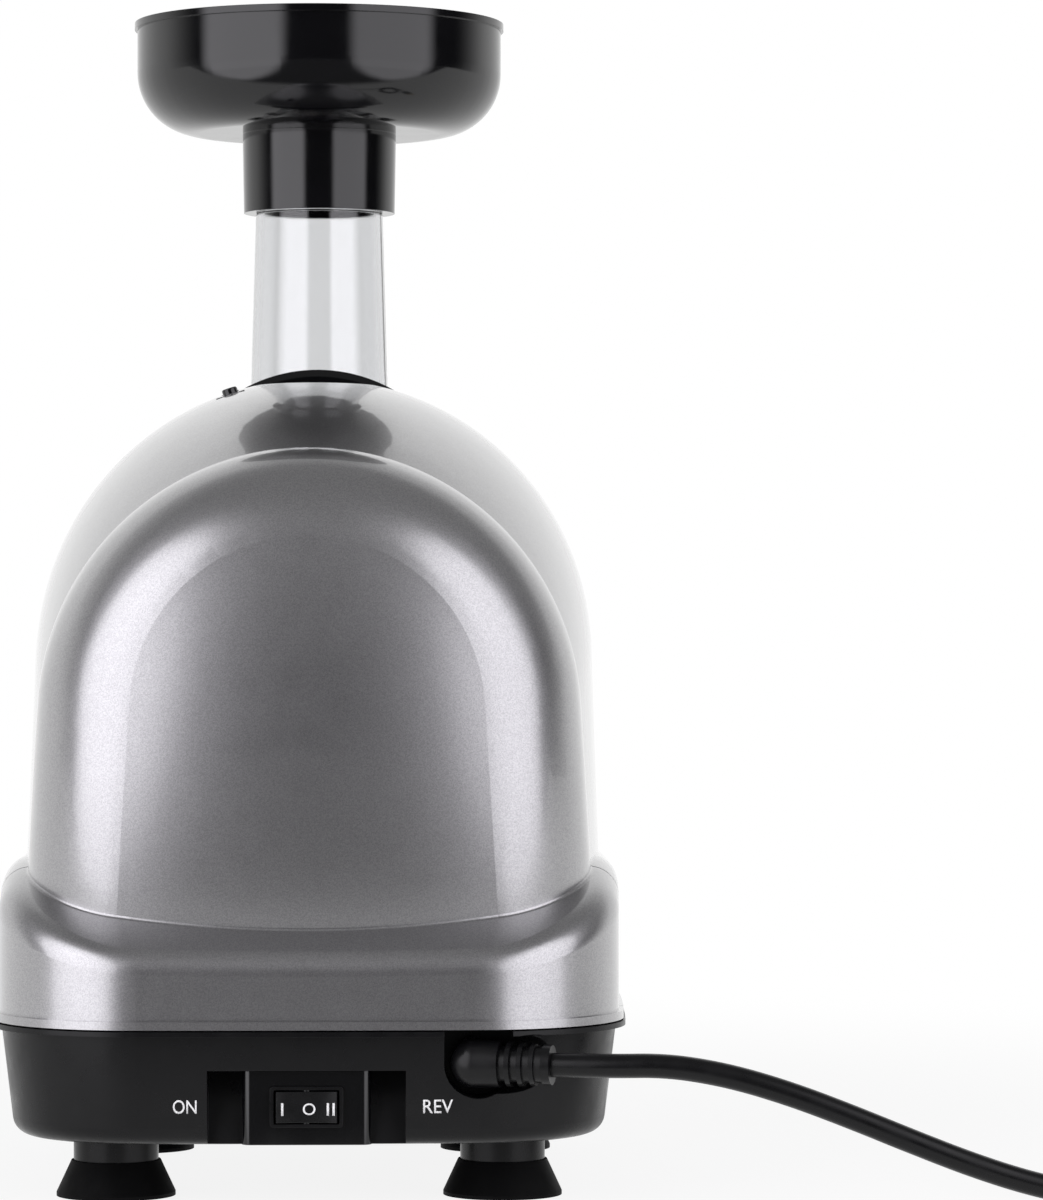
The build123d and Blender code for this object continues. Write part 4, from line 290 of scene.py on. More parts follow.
@dataclass(frozen=True)
class MouldedPlastic:
    """Moulded plastic with a fine grain and a tone that varies at random; given an edge radius, its
    sharp edges catch light as a small rounding does.
    """

    name: str
    colour: Triple
    roughness: float
    grain: float = 0.0006
    depth: float = 0.00001
    spread: float = 0.12
    shine: float = 0.5
    edge: float = 0.0003

    def material(self) -> bpy.types.Material:
        """Wire the plastic.

        Returns:
            The material.
        """
        bench = Bench(self.name)
        bench.set(Specular_IOR_Level=self.shine)
        bench.tint(bench.noise(size=0.02, detail=4.0), self.colour, self.spread)
        bench.rough(bench.noise(size=0.008), self.roughness, spread=0.25 * self.roughness)
        if self.edge:
            bench.soften(self.edge)
        bench.bump(bench.noise(self.grain, detail=2.0), self.depth, strength=0.4)
        return bench.material


@dataclass(frozen=True)
class ClearPlastic:
    """Clear moulded plastic with faint flow lines, a slight tint and a body that dims light."""

    name: str
    colour: Triple
    body: Triple
    density: float = 200.0
    roughness: float = 0.02
    refraction: float = 1.49
    flow: float = 0.012
    flow_depth: float = 0.00001
    flow_stretch: Triple = (1.0, 1.0, 0.2)

    def material(self) -> bpy.types.Material:
        """Wire the clear plastic.

        Returns:
            The material.
        """
        bench = Bench(self.name)
        bench.set(Transmission_Weight=1.0, IOR=self.refraction)
        bench.tint(bench.noise(size=0.03), self.colour, spread=0.008)
        bench.rough(bench.noise(size=0.01), self.roughness, spread=0.6 * self.roughness)
        lines = bench.noise(self.flow, detail=1.0, stretch=self.flow_stretch)
        bench.bump(lines, self.flow_depth, strength=0.15)
        dimming = bench.add("ShaderNodeVolumeAbsorption")
        dimming.inputs["Color"].default_value = (*self.body, 1.0)
        dimming.inputs["Density"].default_value = self.density
        bench.join(dimming.outputs["Volume"], bench.output.inputs["Volume"])
        return bench.material


@dataclass(frozen=True)
class SoftRubber:
    """Matte rubber with a dusty bloom."""

    name: str
    colour: Triple
    roughness: float = 0.62
    bloom: float = 0.35
    grain: float = 0.0009
    shine: float = 0.3

    def material(self) -> bpy.types.Material:
        """Wire the rubber.

        Returns:
            The material.
        """
        bench = Bench(self.name)
        bench.set(Specular_IOR_Level=self.shine)
        bench.tint(bench.noise(size=0.012, detail=5.0), self.colour, self.bloom)
        bench.rough(bench.noise(size=0.005), self.roughness, spread=0.08)
        bench.bump(bench.noise(self.grain), depth=0.00003, strength=0.4)
        return bench.material


@dataclass(frozen=True)
class BareMetal:
    """Bare or plated metal with the marks of how it was worked."""

    name: str
    colour: Triple
    roughness: float
    tooling: Tooling
    streak: float = 0.0008
    spread: float = 0.15

    def material(self) -> bpy.types.Material:
        """Wire the metal.

        Returns:
            The material.
        """
        bench = Bench(self.name)
        bench.set(Metallic=1.0)
        streaks = bench.noise(self.streak, detail=4.0, stretch=self.tooling.value)
        bench.tint(bench.noise(size=0.009, detail=4.0), self.colour, self.spread)
        bench.rough(streaks, self.roughness, spread=0.3 * self.roughness)
        bench.bump(streaks, depth=0.00001, strength=0.3)
        return bench.material


@dataclass(frozen=True)
class WoundWire:
    """Enamelled wire lying turn by turn, with painted shade in the grooves and painted highlight on
    the turns.
    """

    name: str
    colour: Triple
    turn: float = 0.0007
    metal: float = 0.85
    enamel: float = 0.6

    def material(self) -> bpy.types.Material:
        """Wire the winding's finish.

        Returns:
            The material.
        """
        bench = Bench(self.name)
        bench.set(Metallic=self.metal, Coat_Weight=self.enamel, Coat_Roughness=0.15)
        turns = bench.bands(self.turn, "Y")
        # Painted shade and highlight: the colour darkens in the grooves between turns and lightens
        # on their crowns, along the bump's bands.
        bench.tint(turns, self.colour, spread=0.35, low=0.1)
        bench.rough(bench.noise(size=0.004), mean=0.32, spread=0.06)
        bench.bump(turns, depth=0.0002, strength=0.7)
        return bench.material


@dataclass(frozen=True)
class SolderMask:
    """Green circuit board with copper runs that show through its mask."""

    name: str
    colour: Triple
    run: float = 0.0024

    def material(self) -> bpy.types.Material:
        """Wire the board.

        Returns:
            The material.
        """
        bench = Bench(self.name)
        bench.set(Coat_Weight=0.5, Coat_Roughness=0.12)
        runs = bench.cells(self.run, "Distance")
        bench.tint(runs, self.colour, spread=0.45, low=0.2)
        bench.rough(bench.noise(size=0.003), mean=0.4, spread=0.06)
        bench.bump(runs, depth=0.00006, strength=0.5)
        return bench.material


@dataclass(frozen=True)
class PrintInk:
    """Pad-printed ink, a little thin in places."""

    name: str
    colour: Triple

    def material(self) -> bpy.types.Material:
        """Wire the ink.

        Returns:
            The material.
        """
        bench = Bench(self.name)
        bench.tint(bench.noise(size=0.0006), self.colour, spread=0.08)
        bench.rough(bench.noise(size=0.001), mean=0.5, spread=0.08)
        bench.bump(bench.noise(size=0.0003, detail=2.0), depth=0.00001, strength=0.3)
        return bench.material


Finish = (
    FlakePaint
    | MouldedPlastic
    | ClearPlastic
    | SoftRubber
    | BareMetal
    | WoundWire
    | SolderMask
    | PrintInk
)

SILVER_PAINT = FlakePaint("silver_paint", (0.335, 0.332, 0.34))
SATIN_BLACK = MouldedPlastic("satin_black", (0.004, 0.004, 0.0045), 0.3, shine=0.22)
GLOSS_BLACK = MouldedPlastic("gloss_black", (0.0025, 0.0025, 0.003), 0.1, depth=0.000003)
ROCKER_BLACK = MouldedPlastic(
    "rocker_black", (0.004, 0.004, 0.0045), 0.24, shine=0.35, edge=0.00025
)
CLEAR_PLASTIC = ClearPlastic("clear_plastic", (0.98, 0.983, 0.988), (0.65, 0.655, 0.665))
FOOT_RUBBER = SoftRubber("foot_rubber", (0.0025, 0.0025, 0.0027), shine=0.08)
SEAL_RUBBER = SoftRubber("seal_rubber", (0.55, 0.55, 0.53), bloom=0.06)
LEAD_SHEATH = MouldedPlastic(
    "lead_sheath", (0.004, 0.004, 0.0045), 0.3, grain=0.0011, shine=0.25, edge=0.0
)
BRIGHT_STEEL = BareMetal("bright_steel", (0.58, 0.57, 0.55), 0.26, Tooling.DRAWN)
CORE_STEEL = BareMetal("core_steel", (0.3, 0.3, 0.31), 0.42, Tooling.ROLLED, streak=0.0005)
FERRITE = MouldedPlastic("ferrite", (0.05, 0.05, 0.055), 0.6, depth=0.00004, spread=0.3)
ENAMEL_WIRE = WoundWire("enamel_wire", (0.62, 0.24, 0.1))
BRASS = BareMetal("brass", (0.68, 0.5, 0.22), 0.3, Tooling.ROLLED)
BRONZE = BareMetal("bronze", (0.5, 0.33, 0.17), 0.4, Tooling.CAST)
CARBON = MouldedPlastic(
    "carbon", (0.03, 0.03, 0.032), 0.55, grain=0.0003, depth=0.00003, spread=0.3
)
GEAR_NYLON = MouldedPlastic("gear_nylon", (0.72, 0.7, 0.62), 0.38, spread=0.06)
CASE_ALLOY = BareMetal("case_alloy", (0.5, 0.51, 0.52), 0.48, Tooling.CAST, streak=0.0006)
AUGER_PLASTIC = MouldedPlastic("auger_plastic", (0.74, 0.72, 0.66), 0.32, spread=0.05)
BOARD_GREEN = SolderMask("board_green", (0.012, 0.1, 0.035))
BOARD_PARTS = MouldedPlastic("board_parts", (0.02, 0.02, 0.024), 0.4, spread=0.3)
WHITE_INK = PrintInk("white_ink", (0.78, 0.78, 0.78))


class Wardrobe:
    """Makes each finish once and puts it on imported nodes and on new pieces."""

    def __init__(self) -> None:
        """Start with no finish made."""
        self.made: dict[str, bpy.types.Material] = {}

    def give(self, piece: bpy.types.Object, finish: Finish) -> None:
        """Put a finish on a piece, in place of any it has.

        Args:
            piece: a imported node's object or a new piece.
            finish: the finish.
        """
        if finish.name not in self.made:
            self.made[finish.name] = finish.material()
        piece.data.materials.clear()
        piece.data.materials.append(self.made[finish.name])
        log.info("%s wears %s", piece.name, finish.name)

    def dress(self, finish: Finish, *names: str) -> None:
        """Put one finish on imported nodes.

        Args:
            finish: the finish.
            names: the nodes' names.
        """
        for name in names:
            self.give(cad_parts[name], finish)


WARDROBE = Wardrobe()


@dataclass
class Housing:
    """Silver shells over the black base, with the screws, seals and button that belong to them."""

    painted: tuple[str, ...] = ("main_shell", "rear_cover")
    base: tuple[str, ...] = ("base_tray",)

    def dress(self) -> None:
        """Finish the shells, the base and the small parts on them."""
        WARDROBE.dress(SILVER_PAINT, *self.painted)
        WARDROBE.dress(SATIN_BLACK, *self.base)
        WARDROBE.dress(GLOSS_BLACK, "release_button", "socket_ring")
        WARDROBE.dress(BRIGHT_STEEL, "base_screws", "socket_screws", "button_spring")
        WARDROBE.dress(FOOT_RUBBER, "suction_feet")
        WARDROBE.dress(SEAL_RUBBER, "shaft_seal")


@dataclass
class Legend:
    """One printed word or mark that lies on a moulded face."""

    name: str
    words: str
    centre_x: float
    height: float
    width: float
    centre_z: float
    carrier: str
    body: str


@dataclass
class Switchgear:
    """Rocker switch in its panel, with its printed marks and the words beside it."""

    ink_lift: float = 0.00004
    weight: float = 0.004
    curve_steps: int = 6
    stand_off: float = 0.1
    legends: tuple[Legend, ...] = (
        Legend("legend_on", "ON", -0.0318, 0.0036, 0.0062, 0.0275, "base_tray", "machine"),
        Legend("legend_rev", "REV", 0.0344, 0.0036, 0.0078, 0.0275, "base_tray", "machine"),
        Legend("rocker_mark_one", "I", -0.0063, 0.0033, 0.0006, 0.0269, "switch_rocker", "rocker"),
        Legend("rocker_mark_off", "O", 0.0007, 0.0031, 0.0033, 0.0269, "switch_rocker", "rocker"),
        Legend("rocker_mark_two", "I", 0.0056, 0.0033, 0.0006, 0.0269, "switch_rocker", "rocker"),
        Legend("rocker_mark_twice", "I", 0.0071, 0.0033, 0.0006, 0.0269, "switch_rocker", "rocker"),
    )

    def letters(self, legend: Legend) -> bpy.types.Mesh:
        """Set a legend's letters in the plain font.

        Args:
            legend: what to print.

        Returns:
            The letters as a flat mesh.
        """
        line = bpy.data.curves.new(legend.name, "FONT")
        line.body = legend.words
        line.offset = self.weight
        line.resolution_u = self.curve_steps
        sample = bpy.data.objects.new(legend.name + ".sample", line)
        bpy.context.scene.collection.objects.link(sample)
        bpy.context.view_layer.update()
        state = bpy.context.evaluated_depsgraph_get()
        mesh = bpy.data.meshes.new_from_object(sample.evaluated_get(state))
        bpy.data.objects.remove(sample)
        return mesh

    def printed(self, legend: Legend) -> bpy.types.Object:
        """Lay a legend on its carrier's rear face.

        Args:
            legend: what to print and where.

        Returns:
            The print as a thin mesh.
        """
        mesh = self.letters(legend)
        lows = [min(v.co[axis] for v in mesh.vertices) for axis in (0, 1)]
        highs = [max(v.co[axis] for v in mesh.vertices) for axis in (0, 1)]
        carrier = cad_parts[legend.carrier]
        for vertex in mesh.vertices:
            along = (vertex.co.x - lows[0]) / (highs[0] - lows[0]) - 0.5
            up = (vertex.co.y - lows[1]) / (highs[1] - lows[1]) - 0.5
            x = legend.centre_x + along * legend.width
            z = legend.centre_z + up * legend.height
            start = Vector((x, REAR_Y - self.stand_off, z))
            found, place, _, _ = carrier.ray_cast(start, Vector((0.0, 1.0, 0.0)))
            vertex.co = place if found else start
            vertex.co.y -= self.ink_lift
        piece = bpy.data.objects.new(legend.name, mesh)
        bpy.context.scene.collection.objects.link(piece)
        film = piece.modifiers.new("film", "SOLIDIFY")
        film.thickness = self.ink_lift
        film.offset = -1.0
        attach(piece, legend.body)
        return piece

    def dress(self) -> None:
        """Finish the switch and print its legends."""
        WARDROBE.dress(GLOSS_BLACK, "switch_panel")
        WARDROBE.dress(SATIN_BLACK, "switch_body")
        WARDROBE.dress(ROCKER_BLACK, "switch_rocker")
        WARDROBE.dress(BRASS, "switch_terminals")
        WARDROBE.dress(BOARD_GREEN, "circuit_board")
        WARDROBE.dress(BOARD_PARTS, "board_parts")
        for legend in self.legends:
            WARDROBE.give(self.printed(legend), WHITE_INK)


@dataclass
class MainsLead:
    """Mains lead from its elbow boot, along the worktop, into a tied coil that ends in the plug."""

    diameter: float = 0.0064
    boot_start: Triple = (0.044, REAR_Y + 0.008, 0.0385)
    boot_angle: float = 15.0
    boot_length: float = 0.021
    boot_gap: float = 0.00003
    first_run: float = 0.015
    step: float = 0.016
    high_z: float = 0.0392
    fall_start: float = 0.088
    fall_end: float = 0.215
    far_y: float = REAR_Y - 0.010
    swing_length: float = 0.044
    coil_x: float = 0.238
    coil_z: float = 0.0045
    coil_radius: float = 0.0435
    coil_pitch: float = 0.007
    turns_in: float = 2.0
    turns: float = 4.25
    climb_turns: float = 0.5
    points_per_turn: int = 24
    order: int = 3
    curve_steps: int = 8
    round_steps: int = 6
    exit_run: float = 0.042
    plug_z: float = 0.008
    length: float = 1.22
    grip: tuple[str, ...] = ("plug", "plug_pins", "coil_tie")
    route: list[Vector] = field(default_factory=list)

    def fallen(self, x: float) -> Vector:
        """Give the lead's middle where it falls to the worktop, at a place along X."""
        share = min(max((x - self.fall_start) / (self.fall_end - self.fall_start), 0.0), 1.0)
        height = self.high_z - (self.high_z - self.coil_z) * share**2 * (3 - 2 * share)
        leave = self.boot_end()
        swing = (leave.y - self.far_y) * exp((leave.x - x) / self.swing_length)
        return Vector((x, self.far_y + swing, height))

    def boot_out(self) -> Vector:
        """Give the direction in which the boot points."""
        return Vector((cos(radians(self.boot_angle)), -sin(radians(self.boot_angle)), 0.0))

    def boot_end(self) -> Vector:
        """Give the middle of the boot's tip."""
        return Vector(self.boot_start) + self.boot_out() * self.boot_length

    def wound(self, turn: float, middle: Vector) -> Vector:
        """Give the lead's middle in the coil.

        Args:
            turn: turns since the coil's start.
            middle: the coil's middle at its first layer.

        Returns:
            The point.
        """
        angle = 2 * pi * turn - pi / 2
        radius = self.coil_radius - self.coil_pitch * (self.turns_in - abs(turn - self.turns_in))
        share = min(max((turn - self.turns_in) / self.climb_turns + 0.5, 0.0), 1.0)
        climb = self.coil_pitch * share**2 * (3 - 2 * share)
        return middle + Vector((radius * cos(angle), radius * sin(angle), climb))

    def lay(self) -> None:
        """List the lead's control points from the boot to the plug."""
        self.route = [self.boot_end() + self.boot_out() * self.boot_gap]
        self.route.append(self.boot_end() + self.boot_out() * self.first_run)
        runs = round((self.coil_x - self.route[1].x) / self.step)
        falling = [self.coil_x - (runs - run) * self.step for run in range(1, runs)]
        self.route += [self.fallen(x) for x in falling]
        start = Vector((self.coil_x, self.route[-1].y, self.route[-1].z))
        middle = start + Vector((self.diameter, self.coil_radius, 0.0))
        count = round(self.turns * self.points_per_turn)
        stops = [n * self.turns / count for n in range(count + 1)]
        self.route += [start] + [self.wound(turn, middle) for turn in stops]
        entry = Vector((self.route[-1].x, self.route[-1].y + self.exit_run, self.plug_z))
        half_way = (self.route[-1] + entry) / 2
        self.route += [Vector((half_way.x, half_way.y, self.route[-1].z)), entry]
        self.route.append(entry + Vector((0.0, self.diameter, 0.0)))

    def build(self) -> bpy.types.Object:
        """Draw the lead as one smooth curve.

        Returns:
            The lead.
        """
        self.lay()
        line = bpy.data.curves.new("mains_lead", "CURVE")
        line.dimensions = "3D"
        spline = line.splines.new("NURBS")
        spline.points.add(len(self.route) - 1)
        for point, place in zip(spline.points, self.route):
            point.co = (*place, 1.0)
            point.radius = self.diameter / 2
        spline.order_u = self.order
        spline.use_endpoint_u = True
        spline.resolution_u = self.curve_steps
        line.bevel_depth = 1.0
        line.bevel_resolution = self.round_steps
        line.use_fill_caps = True
        lead = bpy.data.objects.new("mains_lead", line)
        bpy.context.scene.collection.objects.link(lead)
        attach(lead, "machine")
        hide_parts("cord", "cord_coil")
        return lead

    def dress(self) -> None:
        """Finish the lead and what holds it."""
        WARDROBE.give(self.build(), LEAD_SHEATH)
        WARDROBE.dress(LEAD_SHEATH, "strain_relief", "cord_tail", "plug", "coil_tie")
        WARDROBE.dress(SATIN_BLACK, "cord_clamp")
        WARDROBE.dress(BRASS, "plug_pins")
        WARDROBE.dress(BRIGHT_STEEL, "clamp_screws")


@dataclass
class JuiceHead:
    """Clear drum with its chute, collar, auger, strainer, end cap and the bowl on top."""

    clear: tuple[str, ...] = ("drum_barrel",)

    def dress(self) -> None:
        """Finish the juice head."""
        WARDROBE.dress(CLEAR_PLASTIC, *self.clear)
        WARDROBE.dress(GLOSS_BLACK, "hopper", "drum_collar", "end_cap")
        WARDROBE.dress(AUGER_PLASTIC, "auger", "strainer_frame")
        WARDROBE.dress(BRIGHT_STEEL, "auger_shank", "strainer_screen")
        WARDROBE.dress(SEAL_RUBBER, "auger_seal", "cap_seal")
        WARDROBE.dress(BRONZE, "tip_bush")


@dataclass
class GearTrain:
    """Two-stage gear train in its alloy case, from the motor's pinion to the auger's socket."""

    wheels: tuple[str, ...] = ("idler_gear", "output_gear")

    def dress(self) -> None:
        """Finish the gear train."""
        WARDROBE.dress(GEAR_NYLON, *self.wheels)
        WARDROBE.dress(BRASS, "motor_pinion")
        WARDROBE.dress(BRIGHT_STEEL, "idler_pin", "output_shaft", "drive_socket")
        WARDROBE.dress(BRIGHT_STEEL, "gear_case_screws")
        WARDROBE.dress(BRONZE, "output_bearings")
        WARDROBE.dress(CASE_ALLOY, "gear_case", "gear_cover")


@dataclass
class Motor:
    """Permanent-magnet motor in its cradle, with its fan, rotor and brush gear."""

    rotor: tuple[str, ...] = ("rotor_core",)

    def dress(self) -> None:
        """Finish the motor."""
        WARDROBE.dress(BRIGHT_STEEL, "motor_can", "motor_shaft", "mount_screws")
        WARDROBE.dress(CORE_STEEL, *self.rotor)
        WARDROBE.dress(CASE_ALLOY, "motor_end_bell")
        WARDROBE.dress(FERRITE, "field_magnets")
        WARDROBE.dress(ENAMEL_WIRE, "rotor_windings", "commutator")
        WARDROBE.dress(CARBON, "carbon_brushes")
        WARDROBE.dress(BRASS, "brush_holders")
        WARDROBE.dress(BRONZE, "motor_bearings")
        WARDROBE.dress(SATIN_BLACK, "cooling_fan", "motor_cradle")


@dataclass(frozen=True)
class SoftBox:
    """One large soft lamp."""

    name: str
    place: Triple
    radiance: float
    aim: Triple = (0.0, -0.12, 0.14)
    width: float = 1.62
    height: float = 2.6
    core: float = 0.32
    cast: Triple = (0.97, 0.955, 1.0)

    def hang(self) -> None:
        """Hang the lamp and turn it to its aim."""
        lamp = bpy.data.lights.new(self.name, "AREA")
        lamp.shape = "ELLIPSE"
        lamp.color = self.cast
        lamp.size = self.width
        lamp.size_y = self.height
        lamp.energy = self.radiance * pi * (pi / 4) * self.width * self.height
        self.feather(lamp)
        holder = bpy.data.objects.new(self.name, lamp)
        holder.location = self.place
        gaze = Vector(self.aim) - Vector(self.place)
        holder.rotation_euler = gaze.to_track_quat("-Z", "Y").to_euler()
        bpy.context.scene.collection.objects.link(holder)
        log.info("%s hangs at %s", self.name, self.place)

    def feather(self, lamp: bpy.types.Light) -> None:
        """Let the lamp's brightness fade from its core to its rim."""
        lamp.use_nodes = True
        tree = lamp.node_tree
        spot = tree.nodes.new("ShaderNodeNewGeometry")
        away = tree.nodes.new("ShaderNodeVectorMath")
        away.operation = "DISTANCE"
        away.inputs[1].default_value = LAMP_MIDDLE
        tree.links.new(spot.outputs["Parametric"], away.inputs[0])
        fade = tree.nodes.new("ShaderNodeMapRange")
        fade.interpolation_type = "SMOOTHSTEP"
        fade.inputs["From Min"].default_value = self.core
        fade.inputs["From Max"].default_value = LAMP_RIM
        fade.inputs["To Min"].default_value = 1.0
        fade.inputs["To Max"].default_value = 0.0
        tree.links.new(away.outputs["Value"], fade.inputs["Value"])
        glow = next(node for node in tree.nodes if node.type == "EMISSION")
        tree.links.new(fade.outputs["Result"], glow.inputs["Strength"])


@dataclass
class Studio:
    """White worktop and surround, soft lamps on both sides and the camera behind the juicer."""

    eye: Triple = (0.027, -1.471, 0.160)
    yaw: float = 1.28
    lens: float = 150.0
    sight: float = 60.0
    floor_reach: float = 9.0
    floor_colour: Triple = (0.86, 0.86, 0.86)
    floor_roughness: float = 0.75
    floor_shine: float = 0.2
    mirror_edge: float = -0.34
    mirror_full: float = -0.24
    mirror_share: float = 0.1
    shadow_near: float = 0.16
    shadow_far: float = 0.6
    shadow_share: float = 0.88
    ambient: float = 0.35
    gloom: float = 0.02
    overhead: float = 0.24
    overhead_edge: float = 0.1
    overhead_full: float = 0.8
    backdrop_way: Triple = (-0.15, 1.0, -0.5)
    backdrop_edge: float = -0.12
    backdrop_full: float = 0.5
    lamps: tuple[SoftBox, ...] = (
        SoftBox("lamp_left", place=(-0.967, -0.876, 0.379), radiance=2.8),
        SoftBox("lamp_right", place=(0.967, -0.876, 0.379), radiance=2.3),
    )

    def seen(self, bench: Bench) -> bpy.types.NodeSocket:
        """Tell camera, mirror and see-through rays from the rest.

        Args:
            bench: the worktop's node tree.

        Returns:
            A factor socket, 1 for such a ray.
        """
        path = bench.add("ShaderNodeLightPath")
        total = path.outputs["Is Camera Ray"]
        for kind in ("Is Glossy Ray", "Is Transmission Ray"):
            either = bench.add("ShaderNodeMath", operation="MAXIMUM")
            bench.join(total, either.inputs[0])
            bench.join(path.outputs[kind], either.inputs[1])
            total = either.outputs["Value"]
        return total

    def lay_floor(self) -> None:
        """Lay a worktop that fades to white away from the juicer and keeps its shadow."""
        sheet = bmesh.new()
        bmesh.ops.create_grid(sheet, x_segments=1, y_segments=1, size=self.floor_reach)
        mesh = bpy.data.meshes.new("worktop")
        sheet.to_mesh(mesh)
        sheet.free()
        worktop = bpy.data.objects.new("worktop", mesh)
        bpy.context.scene.collection.objects.link(worktop)
        mesh.materials.append(self.floor_finish())

    def floor_finish(self) -> bpy.types.Material:
        """Wire the worktop: pale and matte, white to the eye away from the shadow.

        In front of the juicer mirrors see little of it, and lamp light passes through.

        Returns:
            The material.
        """
        bench = Bench("pale_worktop")
        bench.set(
            Base_Color=(*self.floor_colour, 1.0),
            Roughness=self.floor_roughness,
            Specular_IOR_Level=self.floor_shine,
        )
        bench.bump(bench.noise(size=0.002), depth=0.00001, strength=0.1)
        white = bench.add("ShaderNodeEmission")
        reach = bench.add("ShaderNodeVectorMath", operation="LENGTH")
        bench.join(bench.place(), reach.inputs[0])
        fade = bench.add("ShaderNodeMapRange", interpolation_type="SMOOTHSTEP")
        fade.inputs["From Min"].default_value = self.shadow_near
        fade.inputs["From Max"].default_value = self.shadow_far
        fade.inputs["To Min"].default_value = self.shadow_share
        bench.join(reach.outputs["Value"], fade.inputs["Value"])
        both = bench.add("ShaderNodeMath", operation="MULTIPLY")
        bench.join(fade.outputs["Result"], both.inputs[0])
        bench.join(self.seen(bench), both.inputs[1])
        mix = bench.add("ShaderNodeMixShader")
        bench.join(both.outputs["Value"], mix.inputs["Fac"])
        bench.join(bench.shader.outputs["BSDF"], mix.inputs[1])
        bench.join(white.outputs["Emission"], mix.inputs[2])
        clear = bench.add("ShaderNodeBsdfTransparent")
        kept = bench.add("ShaderNodeMixShader")
        bench.join(self.passing(bench), kept.inputs["Fac"])
        bench.join(mix.outputs["Shader"], kept.inputs[1])
        bench.join(clear.outputs["BSDF"], kept.inputs[2])
        bench.join(kept.outputs["Shader"], bench.output.inputs["Surface"])
        return bench.material

    def passing(self, bench: Bench) -> bpy.types.NodeSocket:
        """Tell mirror and lamp rays that meet the worktop in front of the juicer from the rest.

        Args:
            bench: the worktop's node tree.

        Returns:
            A factor socket, 1 for such a ray.
        """
        split = bench.add("ShaderNodeSeparateXYZ")
        bench.join(bench.place(), split.inputs["Vector"])
        ahead = bench.add("ShaderNodeMapRange", interpolation_type="SMOOTHSTEP")
        ahead.inputs["From Min"].default_value = self.mirror_edge
        ahead.inputs["From Max"].default_value = self.mirror_full
        ahead.inputs["To Min"].default_value = 1.0
        ahead.inputs["To Max"].default_value = 0.0
        bench.join(split.outputs["Y"], ahead.inputs["Value"])
        path = bench.add("ShaderNodeLightPath")
        either = bench.add("ShaderNodeMath", operation="MAXIMUM")
        mirror = bench.add("ShaderNodeMath", operation="MULTIPLY")
        mirror.inputs[1].default_value = 1.0 - self.mirror_share
        bench.join(path.outputs["Is Glossy Ray"], mirror.inputs[0])
        bench.join(mirror.outputs["Value"], either.inputs[0])
        bench.join(path.outputs["Is Shadow Ray"], either.inputs[1])
        both = bench.add("ShaderNodeMath", operation="MULTIPLY")
        bench.join(ahead.outputs["Result"], both.inputs[0])
        bench.join(either.outputs["Value"], both.inputs[1])
        return both.outputs["Value"]

    def surround(self) -> None:
        """Make the surround white to the eye, and to mirrors dark, grey above and white behind."""
        world = bpy.data.worlds.new("surround")
        world.use_nodes = True
        tree = world.node_tree
        tree.nodes.clear()
        output = tree.nodes.new("ShaderNodeOutputWorld")
        levels = (1.0, self.ambient, self.gloom, self.overhead)
        white, fill, dark, grey = (self.backdrop(tree, level) for level in levels)
        path = tree.nodes.new("ShaderNodeLightPath")
        bent = tree.nodes.new("ShaderNodeMath")
        bent.operation = "MAXIMUM"
        tree.links.new(path.outputs["Is Glossy Ray"], bent.inputs[0])
        tree.links.new(path.outputs["Is Transmission Ray"], bent.inputs[1])
        heading = tree.nodes.new("ShaderNodeTexCoord")
        along = tree.nodes.new("ShaderNodeVectorMath")
        along.operation = "DOT_PRODUCT"
        along.inputs[1].default_value = self.backdrop_way
        tree.links.new(heading.outputs["Generated"], along.inputs[0])
        rise = tree.nodes.new("ShaderNodeSeparateXYZ")
        tree.links.new(heading.outputs["Generated"], rise.inputs["Vector"])
        above = self.ramp(tree, rise.outputs["Z"], self.overhead_edge, self.overhead_full)
        behind = self.ramp(tree, along.outputs["Value"], self.backdrop_edge, self.backdrop_full)
        mirrored = self.blend(tree, behind, self.blend(tree, above, dark, grey), white)
        lit = self.blend(tree, bent.outputs["Value"], fill, mirrored)
        shown = self.blend(tree, path.outputs["Is Camera Ray"], lit, white)
        tree.links.new(shown, output.inputs["Surface"])
        bpy.context.scene.world = world

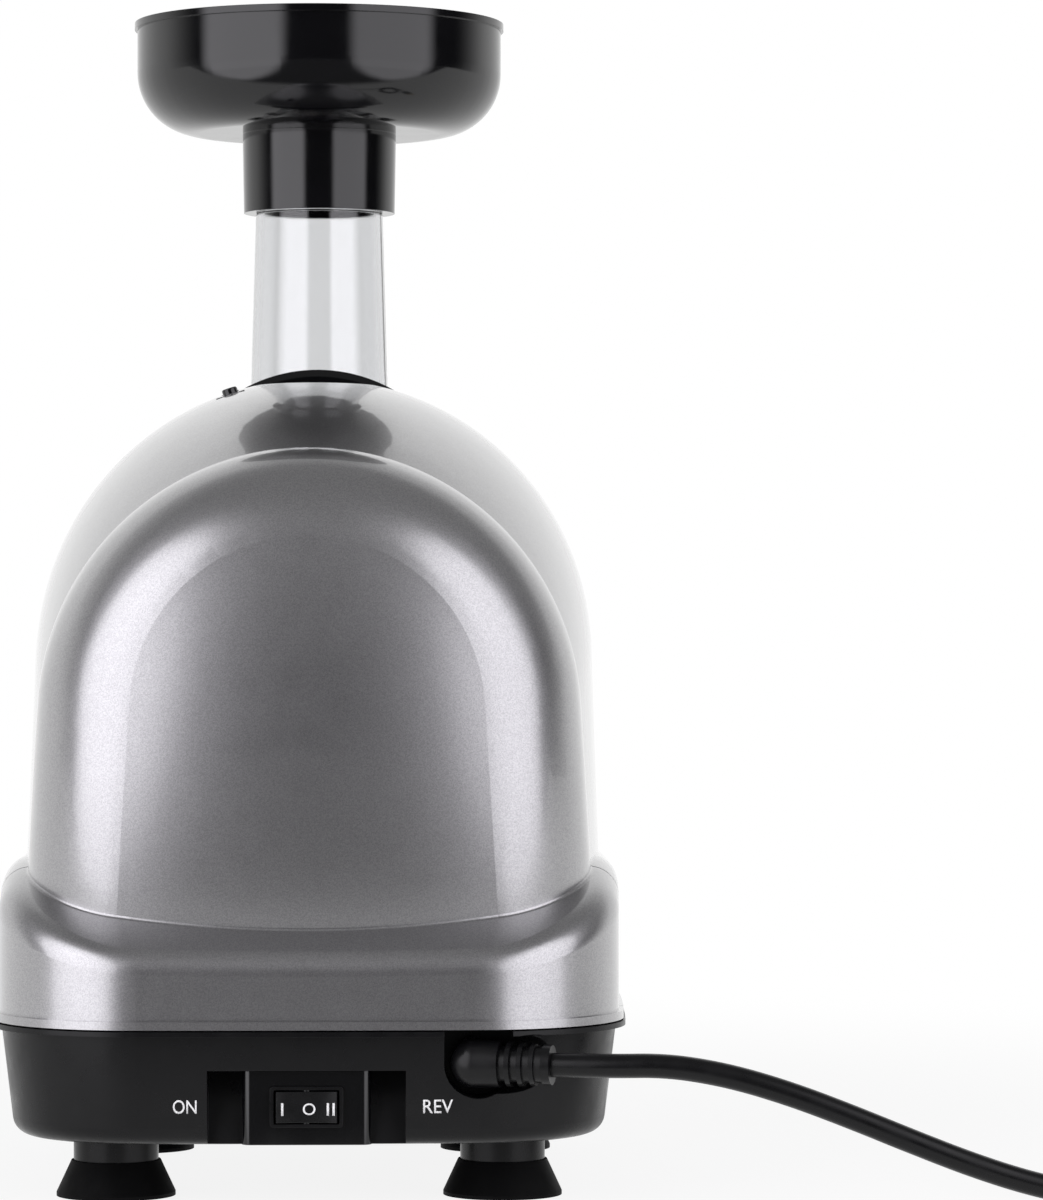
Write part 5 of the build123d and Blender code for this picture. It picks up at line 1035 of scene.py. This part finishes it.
    def ramp(
        self, tree: bpy.types.NodeTree, value: bpy.types.NodeSocket, low: float, high: float
    ) -> bpy.types.NodeSocket:
        """Rise smoothly from 0 to 1 between two values.

        Args:
            tree: the world's node tree.
            value: the socket that is read.
            low: where the rise starts.
            high: where it ends.

        Returns:
            A factor socket.
        """
        slope = tree.nodes.new("ShaderNodeMapRange")
        slope.interpolation_type = "SMOOTHSTEP"
        slope.inputs["From Min"].default_value = low
        slope.inputs["From Max"].default_value = high
        tree.links.new(value, slope.inputs["Value"])
        return slope.outputs["Result"]

    def backdrop(self, tree: bpy.types.NodeTree, level: float) -> bpy.types.NodeSocket:
        """Give a plain grey surround.

        Args:
            tree: the world's node tree.
            level: its brightness.

        Returns:
            The surround's shader socket.
        """
        plain = tree.nodes.new("ShaderNodeBackground")
        plain.inputs["Color"].default_value = (level, level, level, 1.0)
        return plain.outputs["Background"]

    def blend(
        self,
        tree: bpy.types.NodeTree,
        share: bpy.types.NodeSocket,
        first: bpy.types.NodeSocket,
        second: bpy.types.NodeSocket,
    ) -> bpy.types.NodeSocket:
        """Blend two surrounds.

        Args:
            tree: the world's node tree.
            share: factor, 1 for the second alone.
            first: shader socket.
            second: shader socket.

        Returns:
            The blend's shader socket.
        """
        mix = tree.nodes.new("ShaderNodeMixShader")
        tree.links.new(share, mix.inputs["Fac"])
        tree.links.new(first, mix.inputs[1])
        tree.links.new(second, mix.inputs[2])
        return mix.outputs["Shader"]

    def set_camera(self) -> None:
        """Put the camera level behind the juicer, turned a little to its right."""
        camera = bpy.data.cameras.new("camera")
        camera.lens = self.lens
        camera.clip_end = self.sight
        holder = bpy.data.objects.new("camera", camera)
        holder.location = self.eye
        holder.rotation_euler = (radians(90.0), 0.0, radians(-self.yaw))
        bpy.context.scene.collection.objects.link(holder)
        bpy.context.scene.camera = holder

    def build(self) -> None:
        """Set up the studio."""
        bpy.context.scene.view_settings.view_transform = "Standard"
        self.set_camera()
        self.surround()
        self.lay_floor()
        for lamp in self.lamps:
            lamp.hang()


def main() -> None:
    """Build the sub-assemblies in order."""
    logging.basicConfig(level=logging.INFO, format="%(name)s: %(message)s")
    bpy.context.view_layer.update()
    Studio().build()
    MainsLead().dress()
    Housing().dress()
    Switchgear().dress()
    JuiceHead().dress()
    GearTrain().dress()
    Motor().dress()


if __name__ == "__main__":
    main()
